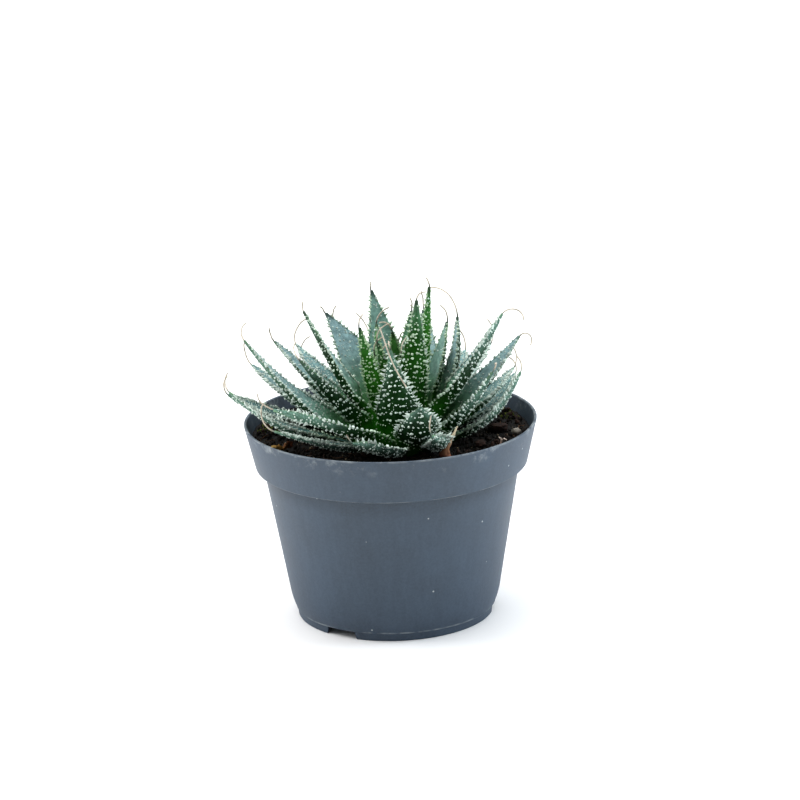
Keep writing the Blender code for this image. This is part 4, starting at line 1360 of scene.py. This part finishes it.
# Dry scraps: piece, the node that it stands for, route and widths in mm, fold and twist in
# degrees, crumple in mm, and the colours of its foot, middle and end.
DRY_SCRAPS = (
    ("dry_leaf_sheath", "dry_sheath",
     ((22.0, -38.0, 76.2), (22.6, -38.0, 79.5), (24.8, -37.0, 84.0), (26.8, -36.0, 88.6)),
     (5.4, 3.0, 1.3, 0.4), 95, 75, 0.45, ("#7b4636", "#bb8a68", "#e0d2b4")),
    ("dry_leaf_scrap", "dry_scrap",
     ((-48.5, -25.8, 76.6), (-46.0, -25.2, 77.9), (-43.5, -23.6, 77.4), (-41.6, -21.6, 78.6),
      (-40.2, -21.0, 77.4)),
     (0.9, 2.6, 1.4, 2.2, 0.5), 75, 110, 1.5, ("#7f7a3c", "#a9803f", "#6e3d22")),
    ("dry_curl", None,
     ((43.8, -24.5, 76.4), (44.6, -24.2, 78.2), (45.4, -24.0, 79.0), (46.6, -23.6, 78.4)),
     (0.6, 0.55, 0.5, 0.2), 60, 120, 0.3, ("#c9a793", "#e0c8b8", "#ead9cc")),
    ("dry_curl_fork", None,
     ((44.6, -24.2, 78.2), (44.2, -24.3, 79.4), (43.4, -24.4, 80.0)),
     (0.55, 0.45, 0.2), 60, 60, 0.3, ("#e0c8b8", "#ead9cc", "#ead9cc")),
)


class ALOE_OT_litter(bpy.types.Operator):
    """Lay the bark chips, the pebble and the dead scraps of leaf on the peat"""
    bl_idname = "aloe.litter"
    bl_label = "Bark and Scraps"

    def execute(self, context):
        for name, node, route, widths, fold, twist, crumple, colors in DRY_SCRAPS:
            strip = papery_strip(name, route, widths, fold, twist, crumple)
            shaded(strip, papery_leaf(f"papery_{name}", *[linear(c) for c in colors]))
            finish_piece(strip, "dead_leaf", *([node] if node else []))
        dice = random.Random(CHIP_SEED)
        bark = litter_material("pine_bark", linear("#432b21"), linear("#150d09"), 0.88)
        stone = litter_material("pale_stone", linear("#a8a298"), linear("#736c61"), 0.75)
        for node in ("bark_1", "bark_2", "bark_3", "bark_4", "bark_5", "pebble"):
            low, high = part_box(node)
            is_stone = node == "pebble"
            size = high - low
            mesh = lump_mesh(node, size, dice, 4, 0.28) if is_stone else chip_mesh(node, size, dice)
            mesh.transform(Matrix.Translation((low + high) / 2))
            piece = shaded(plain_object(f"chip_{node}", mesh), stone if is_stone else bark)
            finish_piece(piece, "pebble" if is_stone else "bark", node)
        return {"FINISHED"}


# Lamps: name, place in metres, width, height, watts, colour.
LAMPS = (
    ("left_softbox", (-1.00, 0.10, 0.45), 0.5, 0.9, 5.5, "#ffffff"),
    ("right_softbox", (1.00, 0.05, 0.45), 0.5, 0.9, 6.9, "#eaf6ff"),
)

# The overhead silk is a sun: its strength, its spread in degrees, and the strength of the world.
SKY_LIGHT_STRENGTH = 3.0
SKY_LIGHT_SPREAD = 95.0
WORLD_STRENGTH = 0.30

# The camera: place from the pot's axis, downward pitch and roll in radians.
CAMERA_PLACE = (0.0042, -1.3209, 0.4826)
CAMERA_PITCH = 0.2892
CAMERA_ROLL = -0.0309


def add_lamp(name, kind, place, target, **settings):
    """Add a lamp at a place, turned towards a target."""
    lamp = bpy.data.lights.new(name, kind)
    for key, value in settings.items():
        setattr(lamp, key, value)
    turn = (Vector(target) - Vector(place)).to_track_quat("-Z", "Y").to_matrix().to_4x4()
    plain_object(name, lamp).matrix_world = Matrix.Translation(place) @ turn


class ALOE_OT_stage(bpy.types.Operator):
    """Set up the pale floor, the soft lights and the camera"""
    bl_idname = "aloe.stage"
    bl_label = "Stage"

    def execute(self, context):
        stage = context.scene.aloe_stage
        scene = context.scene
        bm = bmesh.new()
        bmesh.ops.create_grid(bm, x_segments=2, y_segments=2, size=6.0)
        floor = plain_object("floor", mesh_from(bm, "floor"))
        made, shader, _ = new_material("matte_floor")
        fill(shader, Base_Color=stage.floor, Roughness=0.9)
        floor.data.materials.append(made)
        world = bpy.data.worlds.new("studio")
        world.use_nodes = True
        scene.world = world
        fill(world.node_tree.nodes["Background"], Color=(1, 1, 1), Strength=WORLD_STRENGTH)
        add_lamp(
            "overhead_silk", "SUN", (-0.12, 0.22, 1.0), (0, 0, 0),
            energy=SKY_LIGHT_STRENGTH, angle=math.radians(SKY_LIGHT_SPREAD),
        )
        for name, place, wide, high, watts, tint in LAMPS:
            add_lamp(
                name, "AREA", place, (0, 0, 0.08),
                color=linear(tint), shape="RECTANGLE", size=wide, size_y=high, energy=watts,
            )
        eye = bpy.data.cameras.new("camera")
        eye.sensor_width = 36.0
        eye.lens = stage.lens
        eye.clip_start = 0.05
        eye.clip_end = 50.0
        camera = plain_object("camera", eye)
        tilt = Euler((math.pi / 2 - CAMERA_PITCH, 0.0, 0.0)).to_matrix()
        roll = Matrix.Rotation(CAMERA_ROLL, 3, "Z")
        camera.matrix_world = Matrix.Translation(AXIS + Vector(CAMERA_PLACE)) @ (tilt @ roll).to_4x4()
        scene.camera = camera
        scene.view_settings.view_transform = "Standard"
        scene.view_settings.look = "Medium High Contrast"
        return {"FINISHED"}


class ALOE_PT_panel(bpy.types.Panel):
    """Lists the pieces and their sizes and colours"""
    bl_idname = "ALOE_PT_panel"
    bl_label = "Potted Lace Aloe"
    bl_space_type = "VIEW_3D"
    bl_region_type = "UI"
    bl_category = "Aloe"

    def draw(self, context):
        for operator, settings in PANEL_ROWS:
            box = self.layout.box()
            box.operator(operator)
            if settings:
                group = getattr(context.scene, settings)
                for name in group.bl_rna.properties.keys():
                    if name not in ("rna_type", "name"):
                        box.prop(group, name)


PANEL_ROWS = (
    ("aloe.pot", "aloe_pot"),
    ("aloe.soil", "aloe_soil"),
    ("aloe.crown", None),
    ("aloe.leaves", "aloe_leaf"),
    ("aloe.litter", None),
    ("aloe.stage", "aloe_stage"),
)
SETTINGS = (
    ("aloe_pot", AloePotSettings),
    ("aloe_soil", AloeSoilSettings),
    ("aloe_leaf", AloeLeafSettings),
    ("aloe_stage", AloeStageSettings),
)
CLASSES = (
    AloePotSettings, AloeSoilSettings, AloeLeafSettings, AloeStageSettings,
    ALOE_OT_pot, ALOE_OT_soil, ALOE_OT_crown, ALOE_OT_leaves, ALOE_OT_litter, ALOE_OT_stage,
    ALOE_PT_panel,
)


def register():
    for cls in CLASSES:
        bpy.utils.register_class(cls)
    for name, group in SETTINGS:
        setattr(bpy.types.Scene, name, PointerProperty(type=group))


def unregister():
    for name, _ in SETTINGS:
        delattr(bpy.types.Scene, name)
    for cls in reversed(CLASSES):
        bpy.utils.unregister_class(cls)


def main():
    """Make every piece in order."""
    register()
    bpy.ops.aloe.pot()
    bpy.ops.aloe.soil()
    bpy.ops.aloe.crown()
    bpy.ops.aloe.leaves()
    bpy.ops.aloe.litter()
    bpy.ops.aloe.stage()


if __name__ == "__main__":
    main()
